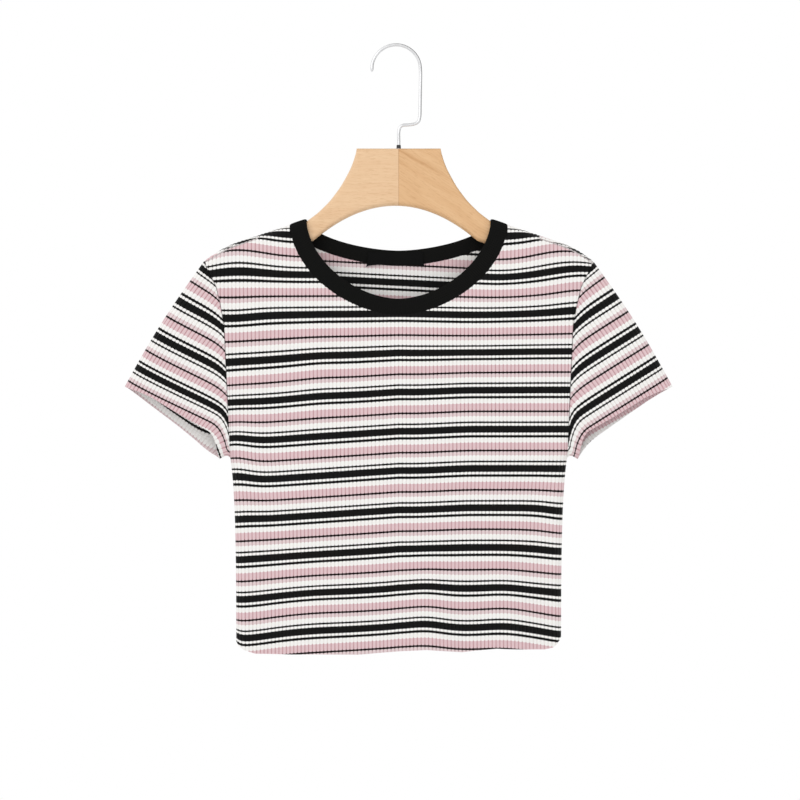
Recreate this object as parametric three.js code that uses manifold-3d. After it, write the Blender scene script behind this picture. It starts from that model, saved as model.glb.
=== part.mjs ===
// A cropped, short-sleeved rib-knit top that hangs on a wooden hanger with a wire hook.
// Millimetres, +Z up, the wearer's front faces -Y. The origin is the inside top of the hook.
import * as THREE from "three";
import { mergeVertices } from "three/addons/utils/BufferGeometryUtils.js";
import Module from "manifold-3d";

const { lerp, clamp, smoothstep } = THREE.MathUtils;
const QUARTER = Math.PI / 2;
const FRONT = -1;
const BACK = 1;

// The knit: a wall with ribs raised on its outside, and the space left between sewn pieces.
const knit = { wall: 1.5, ribRise: 0.6, seamGap: 0.3, bodyRibs: 90, sleeveColumns: 72 };

// The shoulder line, from the neck out to the sleeve head, and the round fold of cloth over the hanger.
const shoulder = { neckX: 83, neckZ: -156.6, slope: 0.34, bendX: 145, bend: 0.008, fold: 8.6 };
Object.assign(shoulder, { tipX: 174, tipCut: 4, tightLength: 20, neckRun: 13.3 });

// The body below the arms: half widths, the fold at each side seam, and the levels of underarm and hem.
const body = { underarmZ: -371, underarmHalf: 151.5, hemHalf: 146, narrowing: 40, sideFold: 9, hemZ: -545.3 };
body.flatHalf = body.underarmHalf - body.sideFold + body.sideFold * QUARTER;

// The hem's tilt from side to side, and how far it curls up at its corners.
const hem = { tilt: 0.019, curl: 7, curlFrom: 130, curlTo: 147 };

// The armhole: where it leaves the straight side, and how fast it opens above the underarm.
const armhole = { flareZ: -252, slitHeight: 26 };
const armholeCurve = [
  { x: 156.64, z: armhole.flareZ },
  { x: 159.8, z: -234 },
  { x: 163.6, z: -218 },
  { x: 168.2, z: -208.5 },
  { x: 172.6, z: -200 },
];

// Half depth of the body at its sides, and how much fuller it is at the middle of front and back.
const fullness = [
  { z: -546, side: 10.5, front: 7, back: 5 },
  { z: -371, side: 9.2, front: 5, back: 3 },
  { z: -240, side: 8.8, front: 2.5, back: 1.2 },
  { z: -160, side: 8.6, front: 0, back: 0 },
];

// Soft upright folds: how far each stands out (or in), its place, its half width, and where it fades away.
const drapeFolds = [
  { face: FRONT, x: -118, width: 22, out: -2.6, fadeZ: -330 },
  { face: FRONT, x: -70, width: 26, out: 2.8, fadeZ: -400 },
  { face: FRONT, x: 25, width: 24, out: 3.2, fadeZ: -430 },
  { face: FRONT, x: 63, width: 18, out: -3.4, fadeZ: -440 },
  { face: FRONT, x: 95, width: 20, out: 3, fadeZ: -420 },
  { face: FRONT, x: 126, width: 15, out: -2.8, fadeZ: -300 },
  { face: BACK, x: -95, width: 24, out: 3, fadeZ: -380 },
  { face: BACK, x: -40, width: 24, out: -2.8, fadeZ: -420 },
  { face: BACK, x: 20, width: 26, out: 3.2, fadeZ: -400 },
  { face: BACK, x: 84, width: 22, out: -2.6, fadeZ: -350 },
];

// Neck openings as rounded curves below the shoulder points: half width, depth, squareness.
const neckSeam = {
  [FRONT]: { half: 97.8, depth: 81.2, power: 1.8 },
  [BACK]: { half: 97.8, depth: 35.4, power: 1.7 },
};
const neckEdge = {
  [FRONT]: { half: 83, depth: 71.7, power: 1.8 },
  [BACK]: { half: 83, depth: 27.3, power: 1.7 },
};
const neckband = { seamInset: 0.6, quarterSteps: 13, crowd: 1.7, shoulderShare: 0.2, shoulderLift: 4 };
const neckbandSection = [
  { across: 0, out: 0.4 },
  { across: 0.16, out: 0.9 },
  { across: 0.88, out: 0.9 },
  { across: 1, out: -0.3 },
  { across: 0.88, out: -1.5 },
  { across: 0, out: -1.4 },
];

// Sleeves: a tube that leaves the shoulder tip along a slanted line, with folds at its top and underarm.
const sleeve = { along: { x: 0.533, z: -0.846 }, cuffWidth: 105.5, bow: 2.5, freeLength: 16 };
Object.assign(sleeve, { fold: 8.6, cuffFull: 9.8, middleFull: 2 });
sleeve.across = { x: sleeve.along.z, z: -sleeve.along.x };
const cuffEdge = [
  { across: 0, front: 134, back: 134 },
  { across: 12, front: 131.2, back: 135 },
  { across: 25, front: 129.2, back: 136.3 },
  { across: 60, front: 128.8, back: 139.5 },
  { across: 78, front: 128, back: 141.8 },
  { across: 86, front: 127.8, back: 143.2 },
  { across: 91, front: 129.8, back: 143.8 },
  { across: 97, front: 134.5, back: 144.2 },
  { across: 105.5, front: 144, back: 144 },
];
const cuffDrop = { left: 1, right: 0.6 };

// The hanger's two arms meet at the middle, and swing a little forward towards their ends.
const hanger = { topZ: -92.2, topHalf: 37.9, archZ: -144, archCurve: 0.0058, archShift: 3, archEnd: 74 };
Object.assign(hanger, { armSlope: 0.345, end: 166, tip: 9, half: 5.1, corner: 4.8, clear: 3, settle: 12 });
Object.assign(hanger, { sweep: 8, sweepAt: 170, joint: 0.15, tipNarrow: 0.8, tipThin: 0.5, endShare: 0.35 });
const hangerNeck = [
  { x: 37.9, z: -92.2 },
  { x: 39.6, z: -101 },
  { x: 43.9, z: -111.5 },
  { x: 52.2, z: -126.6 },
  { x: 61.9, z: -139.6 },
  { x: 72.3, z: -150 },
  { x: 84, z: -158.9 },
];
const hangerStations = [
  ...[hanger.joint, 12, 24, hanger.topHalf, 39.6, 43.9, 48, 52.2, 57, 61.9, 67, 72.3, 78, 84, 96, 108],
  ...[120, 132, 144, 152, 158, 162, 165, hanger.end],
];

// The cloth keeps all of the hanger's sweep above the upper level, and a share of it below the lower one.
const sweepFade = { upperZ: -215, lowerZ: -420, leastShare: 0.3 };

// The hook is bent from one wire: an arc over the rail, a straight back, and an offset down to the stem.
const hook = { wire: 1.4, arc: 22, arcX: -2.4, tipTurn: 6, turnSteps: 10, stemDepth: 22, stemPlay: 0.35 };
const hookLower = [
  { x: 0, z: -114.2 },
  { x: 0, z: -98 },
  { x: 0, z: -86 },
  { x: 0, z: -77 },
  { x: 0.9, z: -73.4 },
  { x: 3.4, z: -71.4 },
  { x: 9, z: -70.9 },
  { x: 14.2, z: -70 },
  { x: 17.6, z: -68 },
  { x: 18.9, z: -64 },
  { x: 19.3, z: -52 },
  { x: 19.6, z: -36 },
];
const ferrule = { radius: 2.3, height: 2.8 };
const label = { left: -28, right: 22, top: -185.5, bottom: -197.5, thick: 1 };

// Straight-line reading of a table with one named column against another.
function read(table, at, key, value) {
  const up = table[0][at] < table[table.length - 1][at];
  const rows = up ? table : [...table].reverse();
  const k = clamp(key, rows[0][at], rows[rows.length - 1][at]);
  const i = clamp(rows.findIndex((r) => r[at] >= k), 1, rows.length - 1);
  const share = (k - rows[i - 1][at]) / (rows[i][at] - rows[i - 1][at]);
  return lerp(rows[i - 1][value], rows[i][value], share);
}

// A quarter-round fold of the given radius, then straight: how far in and out a length of cloth reaches.
function roundFold(length, radius) {
  const turn = Math.min(length / radius, QUARTER);
  const straight = Math.max(0, length - radius * QUARTER);
  return { along: radius * (1 - Math.cos(turn)) + straight, out: Math.sin(turn) };
}

function foldLength(along, radius) {
  if (along >= radius) return radius * QUARTER + along - radius;
  return radius * Math.acos(1 - Math.max(0, along) / radius);
}

function shoulderZ(x) {
  const a = Math.abs(x);
  const bent = shoulder.bend * Math.max(0, a - shoulder.bendX) ** 2;
  return shoulder.neckZ - shoulder.slope * (a - shoulder.neckX) - bent;
}

// The middle plane between front and back follows the hanger's sweep, and straightens lower down.
function middleY(x, z) {
  const share = lerp(sweepFade.leastShare, 1, smoothstep(z, sweepFade.lowerZ, sweepFade.upperZ));
  return -hanger.sweep * (x / hanger.sweepAt) ** 2 * share;
}

function halfDepth(x, z, face) {
  const fuller = read(fullness, "z", z, face === FRONT ? "front" : "back");
  let depth = read(fullness, "z", z, "side") + fuller * Math.max(0, 1 - (x / body.underarmHalf) ** 2);
  for (const fold of drapeFolds) {
    if (fold.face !== face) continue;
    const grown = 1 - smoothstep(z, body.hemZ, fold.fadeZ);
    depth += fold.out * grown * Math.exp(-(((x - fold.x) / fold.width) ** 2));
  }
  return depth;
}

// Across the body at one level: cloth folds round to the side seam below the arms and lies open above them.
function acrossBody(u, z) {
  const below = Math.max(0, body.underarmZ - z);
  const above = Math.max(0, z - body.underarmZ);
  const half = lerp(body.hemHalf, body.underarmHalf, Math.exp(-below / body.narrowing));
  const flatHalf = body.flatHalf - body.underarmHalf + half;
  const fromSeam = Math.max(0, (body.flatHalf - Math.abs(u)) * (flatHalf / body.flatHalf));
  const fold = roundFold(fromSeam, body.sideFold);
  const openX = clamp(above / (armhole.flareZ - body.underarmZ), 0, 1);
  const openY = Math.sqrt(1 - (1 - Math.min(1, above / armhole.slitHeight)) ** 2);
  return { x: Math.sign(u) * lerp(half - fold.along, Math.abs(u), openX), out: lerp(fold.out, 1, openY) };
}

// A point of the body's cloth: u runs across from the middle, s down from the shoulder line.
function bodyPoint(u, s, face) {
  const over = roundFold(s, shoulder.fold);
  const z = shoulderZ(u) - over.along;
  const side = acrossBody(u, z);
  const out = over.out * side.out * halfDepth(side.x, z, face);
  return new THREE.Vector3(side.x, middleY(side.x, z) + face * (knit.seamGap / 2 + out), z);
}

function hemLevel(x, tilt) {
  return body.hemZ + tilt * x + hem.curl * smoothstep(Math.abs(x), hem.curlFrom, hem.curlTo);
}

function neckCurve(shape, turn) {
  const c = Math.cos(turn);
  return {
    x: shape.half * Math.sign(c) * Math.abs(c) ** (2 / shape.power),
    z: shoulderZ(shape.half) - shape.depth * Math.abs(Math.sin(turn)) ** (2 / shape.power),
  };
}

function neckLevel(u, face) {
  const shape = neckSeam[face];
  const share = Math.min(1, Math.abs(u) / shape.half);
  return shoulderZ(shape.half) - shape.depth * (1 - share ** shape.power) ** (1 / shape.power);
}

// Cloth length from the shoulder line down to the top edge, the hem, and the armhole beside the shoulder.
function topLength(u, face) {
  const inside = neckSeam[face].half - Math.abs(u);
  if (inside <= 0) return 0;
  return Math.min(foldLength(shoulderZ(u) - neckLevel(u, face), shoulder.fold), inside * shoulder.neckRun);
}

function hemLength(u, tilt) {
  return foldLength(shoulderZ(u) - hemLevel(acrossBody(u, body.hemZ).x, tilt), shoulder.fold);
}

function armholeLength(u) {
  const level = read(armholeCurve, "x", Math.abs(u), "z");
  const start = armholeCurve[armholeCurve.length - 1];
  const share = clamp((Math.abs(u) - start.x) / (shoulder.tipX - start.x), 0, 1);
  return lerp(foldLength(shoulderZ(u) - level, shoulder.fold), shoulder.tipCut, share);
}

// Rows of the body's cloth. Four go round the shoulder, and the armhole leaves the side at the sixth.
const edgeHem = hemLength(body.flatHalf, 0);
const foldRows = [0, 4.5, 9, 13.5];
const levelRows = [-215, armhole.flareZ, -340, -362, body.underarmZ, -445];
const overhangRows = foldRows.length + 1;
const lowerShares = levelRows.map((z) => {
  const s = foldLength(shoulderZ(body.flatHalf) - z, shoulder.fold);
  return (s - foldRows[3]) / (edgeHem - foldRows[3]);
});
lowerShares.push(1);

function bodyRow(u, row, face) {
  const top = topLength(u, face);
  if (row < foldRows.length) return top + foldRows[row];
  const share = lowerShares[row - foldRows.length];
  return lerp(top + foldRows[3], hemLength(u, share < 1 ? 0 : hem.tilt), share);
}

function overhangRow(u, row, face) {
  const long = armholeLength(u);
  const tight = Math.min(1, long / shoulder.tightLength);
  if (row < foldRows.length) return foldRows[row] * tight;
  const beside = (r) => bodyRow(Math.sign(u) * body.flatHalf, r, face) - foldRows[3];
  return lerp(foldRows[3] * tight, long, beside(row) / beside(overhangRows));
}

// Triangles gathered as points, made into one closed geometry that faces out.
class Soup {
  constructor() {
    this.points = [];
  }

  triangle(a, b, c) {
    this.points.push(a, b, c);
  }

  quad(a, b, c, d) {
    this.triangle(a, b, c);
    this.triangle(a, c, d);
  }

  // A strip between an edge with many points and one with few, which stand at the listed stops of the first.
  strip(many, few, stops, flip) {
    const add = (a, b, c) => (flip ? this.triangle(a, c, b) : this.triangle(a, b, c));
    for (let k = 0; k + 1 < stops.length; k++) {
      const middle = Math.ceil((stops[k] + stops[k + 1]) / 2);
      for (let i = stops[k]; i < stops[k + 1]; i++) {
        add(many[i], many[i + 1], i < middle ? few[k] : few[k + 1]);
      }
      add(few[k], many[middle], few[k + 1]);
    }
  }

  geometry() {
    const raw = new THREE.BufferGeometry().setFromPoints(this.points);
    const merged = mergeVertices(raw, 1e-3);
    const p = merged.attributes.position;
    const kept = [];
    let volume = 0;
    const [a, b, c] = [new THREE.Vector3(), new THREE.Vector3(), new THREE.Vector3()];
    for (let i = 0; i < merged.index.count; i += 3) {
      const t = [0, 1, 2].map((k) => merged.index.getX(i + k));
      if (t[0] === t[1] || t[1] === t[2] || t[0] === t[2]) continue;
      kept.push(t);
      [a, b, c].forEach((v, k) => v.fromBufferAttribute(p, t[k]));
      volume += a.dot(b.cross(c)) / 6;
    }
    merged.setIndex((volume < 0 ? kept.map((t) => t.reverse()) : kept).flat());
    merged.computeVertexNormals();
    return merged;
  }
}

// The outward normal of a surface given as a function of two lengths.
function normalOf(surface, a, b, outward) {
  const step = 0.05;
  const da = surface(a + step, b).sub(surface(a - step, b));
  const db = surface(a, b + step).sub(surface(a, Math.max(0, b - step)));
  const n = da.cross(db).normalize();
  return n.dot(outward) < 0 ? n.negate() : n;
}

// The columns at which a wall's inside has points: one step after another, each as often as it says.
function stopsOf(steps) {
  const stops = [0];
  for (const { step, times } of steps) {
    for (let i = 0; i < times; i++) stops.push(stops[stops.length - 1] + step);
  }
  return stops;
}

// One block of a wall: outer points with ribs at every column, inner points at the stops only.
function wallBlock(stops, rows, outerPoint, innerPoint) {
  const columns = stops[stops.length - 1];
  const outer = [];
  const inner = [];
  for (let row = 0; row <= rows; row++) {
    outer.push(Array.from({ length: columns + 1 }, (_, i) => outerPoint(i, row)));
    inner.push(stops.map((i) => innerPoint(i, row)));
  }
  return { outer, inner, stops };
}

function addFaces(soup, block) {
  for (let row = 0; row + 1 < block.outer.length; row++) {
    const [o0, o1] = [block.outer[row], block.outer[row + 1]];
    const [i0, i1] = [block.inner[row], block.inner[row + 1]];
    for (let i = 0; i + 1 < o0.length; i++) soup.quad(o0[i], o0[i + 1], o1[i + 1], o1[i]);
    for (let i = 0; i + 1 < i0.length; i++) soup.quad(i0[i], i1[i], i1[i + 1], i0[i + 1]);
  }
}

function addRowEdge(soup, block, row, last) {
  soup.strip(block.outer[row], block.inner[row], block.stops, !last);
}

function addColumnEdge(soup, block, column, firstRow, lastRow) {
  const at = (grid, row) => grid[row][column ? grid[row].length - 1 : 0];
  for (let row = firstRow; row < lastRow; row++) {
    const [a, b] = column ? [row, row + 1] : [row + 1, row];
    soup.quad(at(block.outer, a), at(block.inner, a), at(block.inner, b), at(block.outer, b));
  }
}

// The inside of a panel is finer at its side folds and at the ends of the neck, and plain elsewhere.
const halfStops = [
  { step: 3, times: 2 },
  { step: 6, times: 4 },
  { step: 1, times: 12 },
  { step: 2, times: 6 },
  { step: 6, times: 6 },
];
const panelStops = stopsOf([...halfStops, ...[...halfStops].reverse()]);
const overhangStops = stopsOf([{ step: 2, times: 5 }]);

// Roughly which way is out of the body: forward or back, sideways at the side folds, up at the shoulders.
function bodyOutward(u, s, face) {
  const fold = { from: 140, lean: 0.1, shoulderLength: 5 };
  const sideways = Math.sign(u) * Math.max(0, Math.abs(u) - fold.from) * fold.lean;
  return new THREE.Vector3(sideways, face, s < fold.shoulderLength ? 1 : 0);
}

// Front or back: the main block down to the hem, and the overhang of each shoulder beside it.
function panelGeometry(face) {
  const ribs = knit.bodyRibs;
  const rows = foldRows.length + levelRows.length;
  const wallPoint = (u, s, rise) => {
    const normal = normalOf((a, b) => bodyPoint(a, b, face), u, s, bodyOutward(u, s, face));
    return bodyPoint(u, s, face).addScaledVector(normal, rise);
  };
  const rib = (i) => (i % 2 ? knit.ribRise : 0);
  const mainU = (i) => lerp(-body.flatHalf, body.flatHalf, i / (2 * ribs));
  const main = wallBlock(
    panelStops, rows,
    (i, row) => wallPoint(mainU(i), bodyRow(mainU(i), row, face), rib(i)),
    (i, row) => wallPoint(mainU(i), bodyRow(mainU(i), row, face), -knit.wall),
  );
  const soup = new Soup();
  addFaces(soup, main);
  addRowEdge(soup, main, 0, false);
  addRowEdge(soup, main, rows, true);
  for (const side of [-1, 1]) {
    const columns = overhangStops[overhangStops.length - 1];
    const [from, to] = side < 0 ? [-shoulder.tipX, -body.flatHalf] : [body.flatHalf, shoulder.tipX];
    const overhangU = (i) => lerp(from, to, i / columns);
    const block = wallBlock(
      overhangStops, overhangRows,
      (i, row) => wallPoint(overhangU(i), overhangRow(overhangU(i), row, face), rib(i)),
      (i, row) => wallPoint(overhangU(i), overhangRow(overhangU(i), row, face), -knit.wall),
    );
    addFaces(soup, block);
    addRowEdge(soup, block, 0, false);
    addRowEdge(soup, block, overhangRows, true);
    addColumnEdge(soup, block, side > 0 ? 1 : 0, 0, overhangRows);
    addColumnEdge(soup, main, side > 0 ? 1 : 0, overhangRows, rows);
  }
  return soup.geometry();
}

// The armhole seam as sleeve coordinates: along and across the sleeve from the shoulder tip, with its depth.
const sleeveTip = { x: shoulder.tipX, z: shoulderZ(shoulder.tipX) };

function sleeveCoordinates(point) {
  const [x, z] = [point.x - sleeveTip.x, point.z - sleeveTip.z];
  return {
    along: x * sleeve.along.x + z * sleeve.along.z,
    across: x * sleeve.across.x + z * sleeve.across.z,
  };
}

// It passes through the same points as the panel's edge, so that the two pieces meet all along it.
function armholeTrack(face) {
  const seam = [];
  const add = (u, s) => {
    const p = bodyPoint(u, s, face);
    seam.push({ ...sleeveCoordinates(p), y: p.y - middleY(p.x, p.z) });
  };
  for (let row = 0; row <= overhangRows; row++) add(shoulder.tipX, overhangRow(shoulder.tipX, row, face));
  const columns = overhangStops[overhangStops.length - 1];
  for (let i = columns - 1; i >= 0; i--) {
    const u = lerp(body.flatHalf, shoulder.tipX, i / columns);
    add(u, overhangRow(u, overhangRows, face));
  }
  const underarmRow = foldRows.length + levelRows.indexOf(body.underarmZ);
  for (let row = overhangRows + 1; row <= underarmRow; row++) {
    add(body.flatHalf, bodyRow(body.flatHalf, row, face));
  }
  return seam;
}

const armholeSeam = { [FRONT]: armholeTrack(FRONT), [BACK]: armholeTrack(BACK) };
const underarm = armholeSeam[FRONT][armholeSeam[FRONT].length - 1];

// A point of the sleeve: share runs from the top fold to the underarm fold, down from armhole to cuff.
function sleevePoint(share, down, face, drop) {
  const width = lerp(underarm.across, sleeve.cuffWidth, down);
  const clothWidth = width + sleeve.fold * (Math.PI - 2);
  const fromTop = share * clothWidth;
  const upper = roundFold(fromTop, sleeve.fold);
  const lower = roundFold(clothWidth - fromTop, sleeve.fold);
  const across = share < 0.5 ? upper.along : width - lower.along;
  const out = Math.min(upper.out, lower.out);
  const seam = armholeSeam[face];
  const seamAlong = read(seam, "across", across, "along") + knit.seamGap;
  const frontCuff = read(cuffEdge, "across", across, "front");
  const cuff = face === FRONT ? frontCuff : lerp(frontCuff, read(cuffEdge, "across", across, "back"), drop);
  const along = lerp(seamAlong, Math.max(cuff, seamAlong + 2), down);
  const raised = across - sleeve.bow * Math.sin(Math.PI * down) * (1 - across / width);
  const x = sleeveTip.x + knit.seamGap + along * sleeve.along.x + raised * sleeve.across.x;
  const z = sleeveTip.z + along * sleeve.along.z + raised * sleeve.across.z;
  const fuller = sleeve.middleFull * Math.sin(Math.PI * share) * down;
  const own = face * out * (lerp(shoulder.fold, sleeve.cuffFull, down) + fuller);
  const free = smoothstep(along - seamAlong, 0, sleeve.freeLength);
  return new THREE.Vector3(x, middleY(x, z) + lerp(read(seam, "across", across, "y"), own, free), z);
}

// The inside of a sleeve is finer at its two folds.
const sleeveHalf = [{ step: 3, times: 4 }, { step: 6, times: 8 }, { step: 3, times: 4 }];
const sleeveSteps = [...sleeveHalf, ...sleeveHalf];

function sleeveGeometry(side, drop) {
  const perFace = knit.sleeveColumns;
  const rowShares = [0, 0.14, 0.4, 0.72, 1];
  const wallPoint = (i, row, rise) => {
    const k = i % (2 * perFace);
    const face = k < perFace ? FRONT : BACK;
    const share = face === FRONT ? k / perFace : 2 - k / perFace;
    const onFold = share === 0 || share === 1;
    const at = (a, b, f) => sleevePoint(clamp(a, 0, 1), clamp(b, 0, 1), f, drop);
    const p = at(share, rowShares[row], face);
    if (onFold) p.y = middleY(p.x, p.z);
    const step = 0.002;
    const down = rowShares[row];
    const ahead = onFold ? at(share ? 1 - step : step, down, BACK) : at(share + step, down, face);
    const behind = onFold ? at(share ? 1 - step : step, down, FRONT) : at(share - step, down, face);
    const lengthwise = at(share, down + 0.02, face).sub(at(share, down - 0.02, face));
    if (onFold) lengthwise.y = 0;
    const n = ahead.sub(behind).cross(lengthwise).normalize();
    const fromTop = sleeve.across;
    const outward = onFold
      ? new THREE.Vector3(fromTop.x, 0, fromTop.z).multiplyScalar(share ? 1 : -1)
      : new THREE.Vector3(0, face, 0);
    if (n.dot(outward) < 0) n.negate();
    p.addScaledVector(n, rise);
    return p.setX(side * p.x);
  };
  const block = wallBlock(
    stopsOf(sleeveSteps), rowShares.length - 1,
    (i, row) => wallPoint(i, row, i % 2 ? knit.ribRise : 0),
    (i, row) => wallPoint(i, row, -knit.wall),
  );
  const soup = new Soup();
  addFaces(soup, block);
  addRowEdge(soup, block, 0, false);
  addRowEdge(soup, block, rowShares.length - 1, true);
  return soup.geometry();
}

// A point on the surface that front or back would have at x and z, without the gap of the shoulder seam.
function surfacePoint(x, z, face) {
  const out = roundFold(foldLength(shoulderZ(x) - z, shoulder.fold), shoulder.fold).out;
  return new THREE.Vector3(x, middleY(x, z) + face * out * halfDepth(x, z, face), z);
}

// The neckband lies between the neck seam and the neck edge, all the way round.
function neckbandGeometry() {
  const shrunk = (shape) => {
    const [half, depth] = [shape.half, shape.depth].map((size) => size - neckband.seamInset);
    return { ...shape, half, depth };
  };
  const bandPoint = (turn, across) => {
    const round = ((turn % (2 * Math.PI)) + 2 * Math.PI) % (2 * Math.PI);
    const face = round <= Math.PI ? FRONT : BACK;
    const angle = face === FRONT ? round : 2 * Math.PI - round;
    const seam = neckCurve(shrunk(neckSeam[face]), angle);
    const edge = neckCurve(neckEdge[face], angle);
    return surfacePoint(lerp(seam.x, edge.x, across), lerp(seam.z, edge.z, across), face);
  };
  const turns = [];
  for (let quarter = 0; quarter < 4; quarter++) {
    for (let i = 0; i < neckband.quarterSteps; i++) {
      const share = i / neckband.quarterSteps;
      const fromShoulder = quarter % 2 ? 1 - (1 - share) ** neckband.crowd : share ** neckband.crowd;
      turns.push((quarter + fromShoulder) * QUARTER);
    }
  }
  const rings = turns.map((turn) =>
    neckbandSection.map(({ across, out }) => {
      const step = 0.004;
      const around = bandPoint(turn + step, across).sub(bandPoint(turn - step, across));
      const inward = bandPoint(turn, 1).sub(bandPoint(turn, 0));
      const n = around.cross(inward).normalize();
      const p = bandPoint(turn, across);
      const face = turn <= Math.PI ? FRONT : BACK;
      const lift = Math.abs(Math.sin(turn)) < neckband.shoulderShare ? neckband.shoulderLift : 0;
      if (n.dot(new THREE.Vector3(0, face, lift)) < 0) n.negate();
      return p.addScaledVector(n, out);
    }),
  );
  const soup = new Soup();
  rings.forEach((ring, i) => {
    const next = rings[(i + 1) % rings.length];
    ring.forEach((p, k) => {
      const l = (k + 1) % ring.length;
      soup.quad(p, ring[l], next[l], next[k]);
    });
  });
  return soup.geometry();
}

// The neck label is a strip on the inside of the back, made from the back's own points moved in.
function labelGeometry() {
  const columns = 8;
  const place = (i, z, inward) => {
    const p = surfacePoint(lerp(label.left, label.right, i / columns), z, BACK);
    p.y -= inward;
    return p;
  };
  const near = knit.wall + knit.seamGap;
  const rows = [near, near + label.thick].map((inward) =>
    [label.top, label.bottom].map((z) => Array.from({ length: columns + 1 }, (_, i) => place(i, z, inward))),
  );
  const soup = new Soup();
  for (let i = 0; i < columns; i++) {
    const [a, b] = [i, i + 1];
    soup.quad(rows[0][0][a], rows[0][0][b], rows[0][1][b], rows[0][1][a]);
    soup.quad(rows[1][0][b], rows[1][0][a], rows[1][1][a], rows[1][1][b]);
    soup.quad(rows[0][0][b], rows[0][0][a], rows[1][0][a], rows[1][0][b]);
    soup.quad(rows[0][1][a], rows[0][1][b], rows[1][1][b], rows[1][1][a]);
  }
  soup.quad(rows[0][0][0], rows[0][1][0], rows[1][1][0], rows[1][0][0]);
  soup.quad(rows[0][1][columns], rows[0][0][columns], rows[1][0][columns], rows[1][1][columns]);
  return soup.geometry();
}

// One arm of the hanger, as rounded sections from the middle joint out to its end.
function hangerTop(x) {
  if (x <= hanger.topHalf) return hanger.topZ;
  const neckEnd = hangerNeck[hangerNeck.length - 1];
  if (x < neckEnd.x) return read(hangerNeck, "x", x, "z");
  const settle = clamp((x - neckEnd.x) / hanger.settle, 0, 1);
  return lerp(neckEnd.z - shoulder.slope * (x - neckEnd.x), shoulderZ(x) - hanger.clear, settle);
}

// The arch under the middle has its crown a little to the left.
function hangerBottom(x, side) {
  const fromCrown = x + side * hanger.archShift;
  const arch = (a) => hanger.archZ - hanger.archCurve * a * a;
  if (fromCrown <= hanger.archEnd) return arch(fromCrown);
  return arch(hanger.archEnd) - hanger.armSlope * (fromCrown - hanger.archEnd);
}

function hangerSection(x, side) {
  const tip = clamp((x - hanger.end) / hanger.tip + 1, 0, 1);
  const shrink = tip < 1 ? Math.sqrt(1 - hanger.tipNarrow * tip * tip) : hanger.endShare;
  const [top, bottom] = [hangerTop(x), hangerBottom(x, side)];
  const middle = (top + bottom) / 2;
  const tall = ((top - bottom) / 2) * shrink;
  const half = hanger.half * Math.sqrt(1 - hanger.tipThin * tip * tip);
  const points = [];
  for (const [sy, sz, start] of [[1, 1, 0], [-1, 1, 1], [-1, -1, 2], [1, -1, 3]]) {
    for (let i = 0; i <= 2; i++) {
      const a = (start + i / 2) * QUARTER;
      const y = sy * (half - hanger.corner) + hanger.corner * Math.cos(a);
      const z = middle + sz * (tall - hanger.corner) + hanger.corner * Math.sin(a);
      points.push(new THREE.Vector3(side * x, y + middleY(x, shoulder.neckZ), z));
    }
  }
  return points;
}

function hangerGeometry(side) {
  const rings = hangerStations.map((x) => hangerSection(x, side));
  const soup = new Soup();
  for (let i = 0; i + 1 < rings.length; i++) {
    rings[i].forEach((p, k) => {
      const l = (k + 1) % rings[i].length;
      soup.quad(p, rings[i][l], rings[i + 1][l], rings[i + 1][k]);
    });
  }
  const [first, last] = [rings[0], rings[rings.length - 1]];
  for (let k = 1; k + 1 < first.length; k++) {
    soup.triangle(first[0], first[k + 1], first[k]);
    soup.triangle(last[0], last[k], last[k + 1]);
  }
  return soup.geometry();
}

function tube(path, radius, steps, sides) {
  const circle = new THREE.Shape();
  for (let i = 0; i < sides; i++) {
    const a = (i / sides) * 2 * Math.PI;
    if (i) circle.lineTo(radius * Math.cos(a), radius * Math.sin(a));
    else circle.moveTo(radius, 0);
  }
  circle.closePath();
  return new THREE.ExtrudeGeometry(circle, { extrudePath: path, steps, bevelEnabled: false });
}

function hookGeometry() {
  const centreZ = -Math.sqrt((hook.arc - hook.wire) ** 2 - hook.arcX ** 2);
  const point = (x, z) => new THREE.Vector3(x, 0, z);
  const points = hookLower.map(({ x, z }) => point(x, z));
  for (let step = 0; step <= hook.turnSteps; step++) {
    const a = ((180 + hook.tipTurn) * step * Math.PI) / 180 / hook.turnSteps;
    points.push(point(hook.arcX + hook.arc * Math.cos(a), centreZ + hook.arc * Math.sin(a)));
  }
  const [steps, sides] = [48, 8];
  return tube(new THREE.CatmullRomCurve3(points, false, "centripetal"), hook.wire, steps, sides);
}

function ferruleGeometry() {
  const [inner, bottom] = [hook.wire + knit.seamGap, hanger.topZ + knit.seamGap];
  const profile = [
    [inner, bottom],
    [ferrule.radius, bottom],
    [ferrule.radius, bottom + ferrule.height * 0.7],
    [ferrule.radius * 0.8, bottom + ferrule.height],
    [inner, bottom + ferrule.height],
    [inner, bottom],
  ].map(([radius, z]) => new THREE.Vector2(radius, z));
  return new THREE.LatheGeometry(profile, 16).rotateX(QUARTER);
}

const wasm = await Module();
wasm.setup();

function solidFrom(geometry) {
  const g = geometry.clone();
  g.deleteAttribute("normal");
  g.deleteAttribute("uv");
  const merged = mergeVertices(g, 1e-3);
  const vertProperties = merged.attributes.position.array;
  const triVerts = new Uint32Array(merged.index.array);
  return new wasm.Manifold(new wasm.Mesh({ numProp: 3, vertProperties, triVerts }));
}

function geometryFrom(solid) {
  const mesh = solid.getMesh();
  const g = new THREE.BufferGeometry();
  g.setAttribute("position", new THREE.BufferAttribute(mesh.vertProperties, 3));
  g.setIndex(new THREE.BufferAttribute(mesh.triVerts, 1));
  g.computeVertexNormals();
  return g;
}

// The hook's stem turns in a hole down the joint of the two arms.
const stemRadius = hook.wire + hook.stemPlay;
const stemHole = new THREE.CylinderGeometry(stemRadius, stemRadius, 2 * hook.stemDepth + 2, 12)
  .rotateX(QUARTER)
  .translate(0, 0, hanger.topZ);

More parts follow.
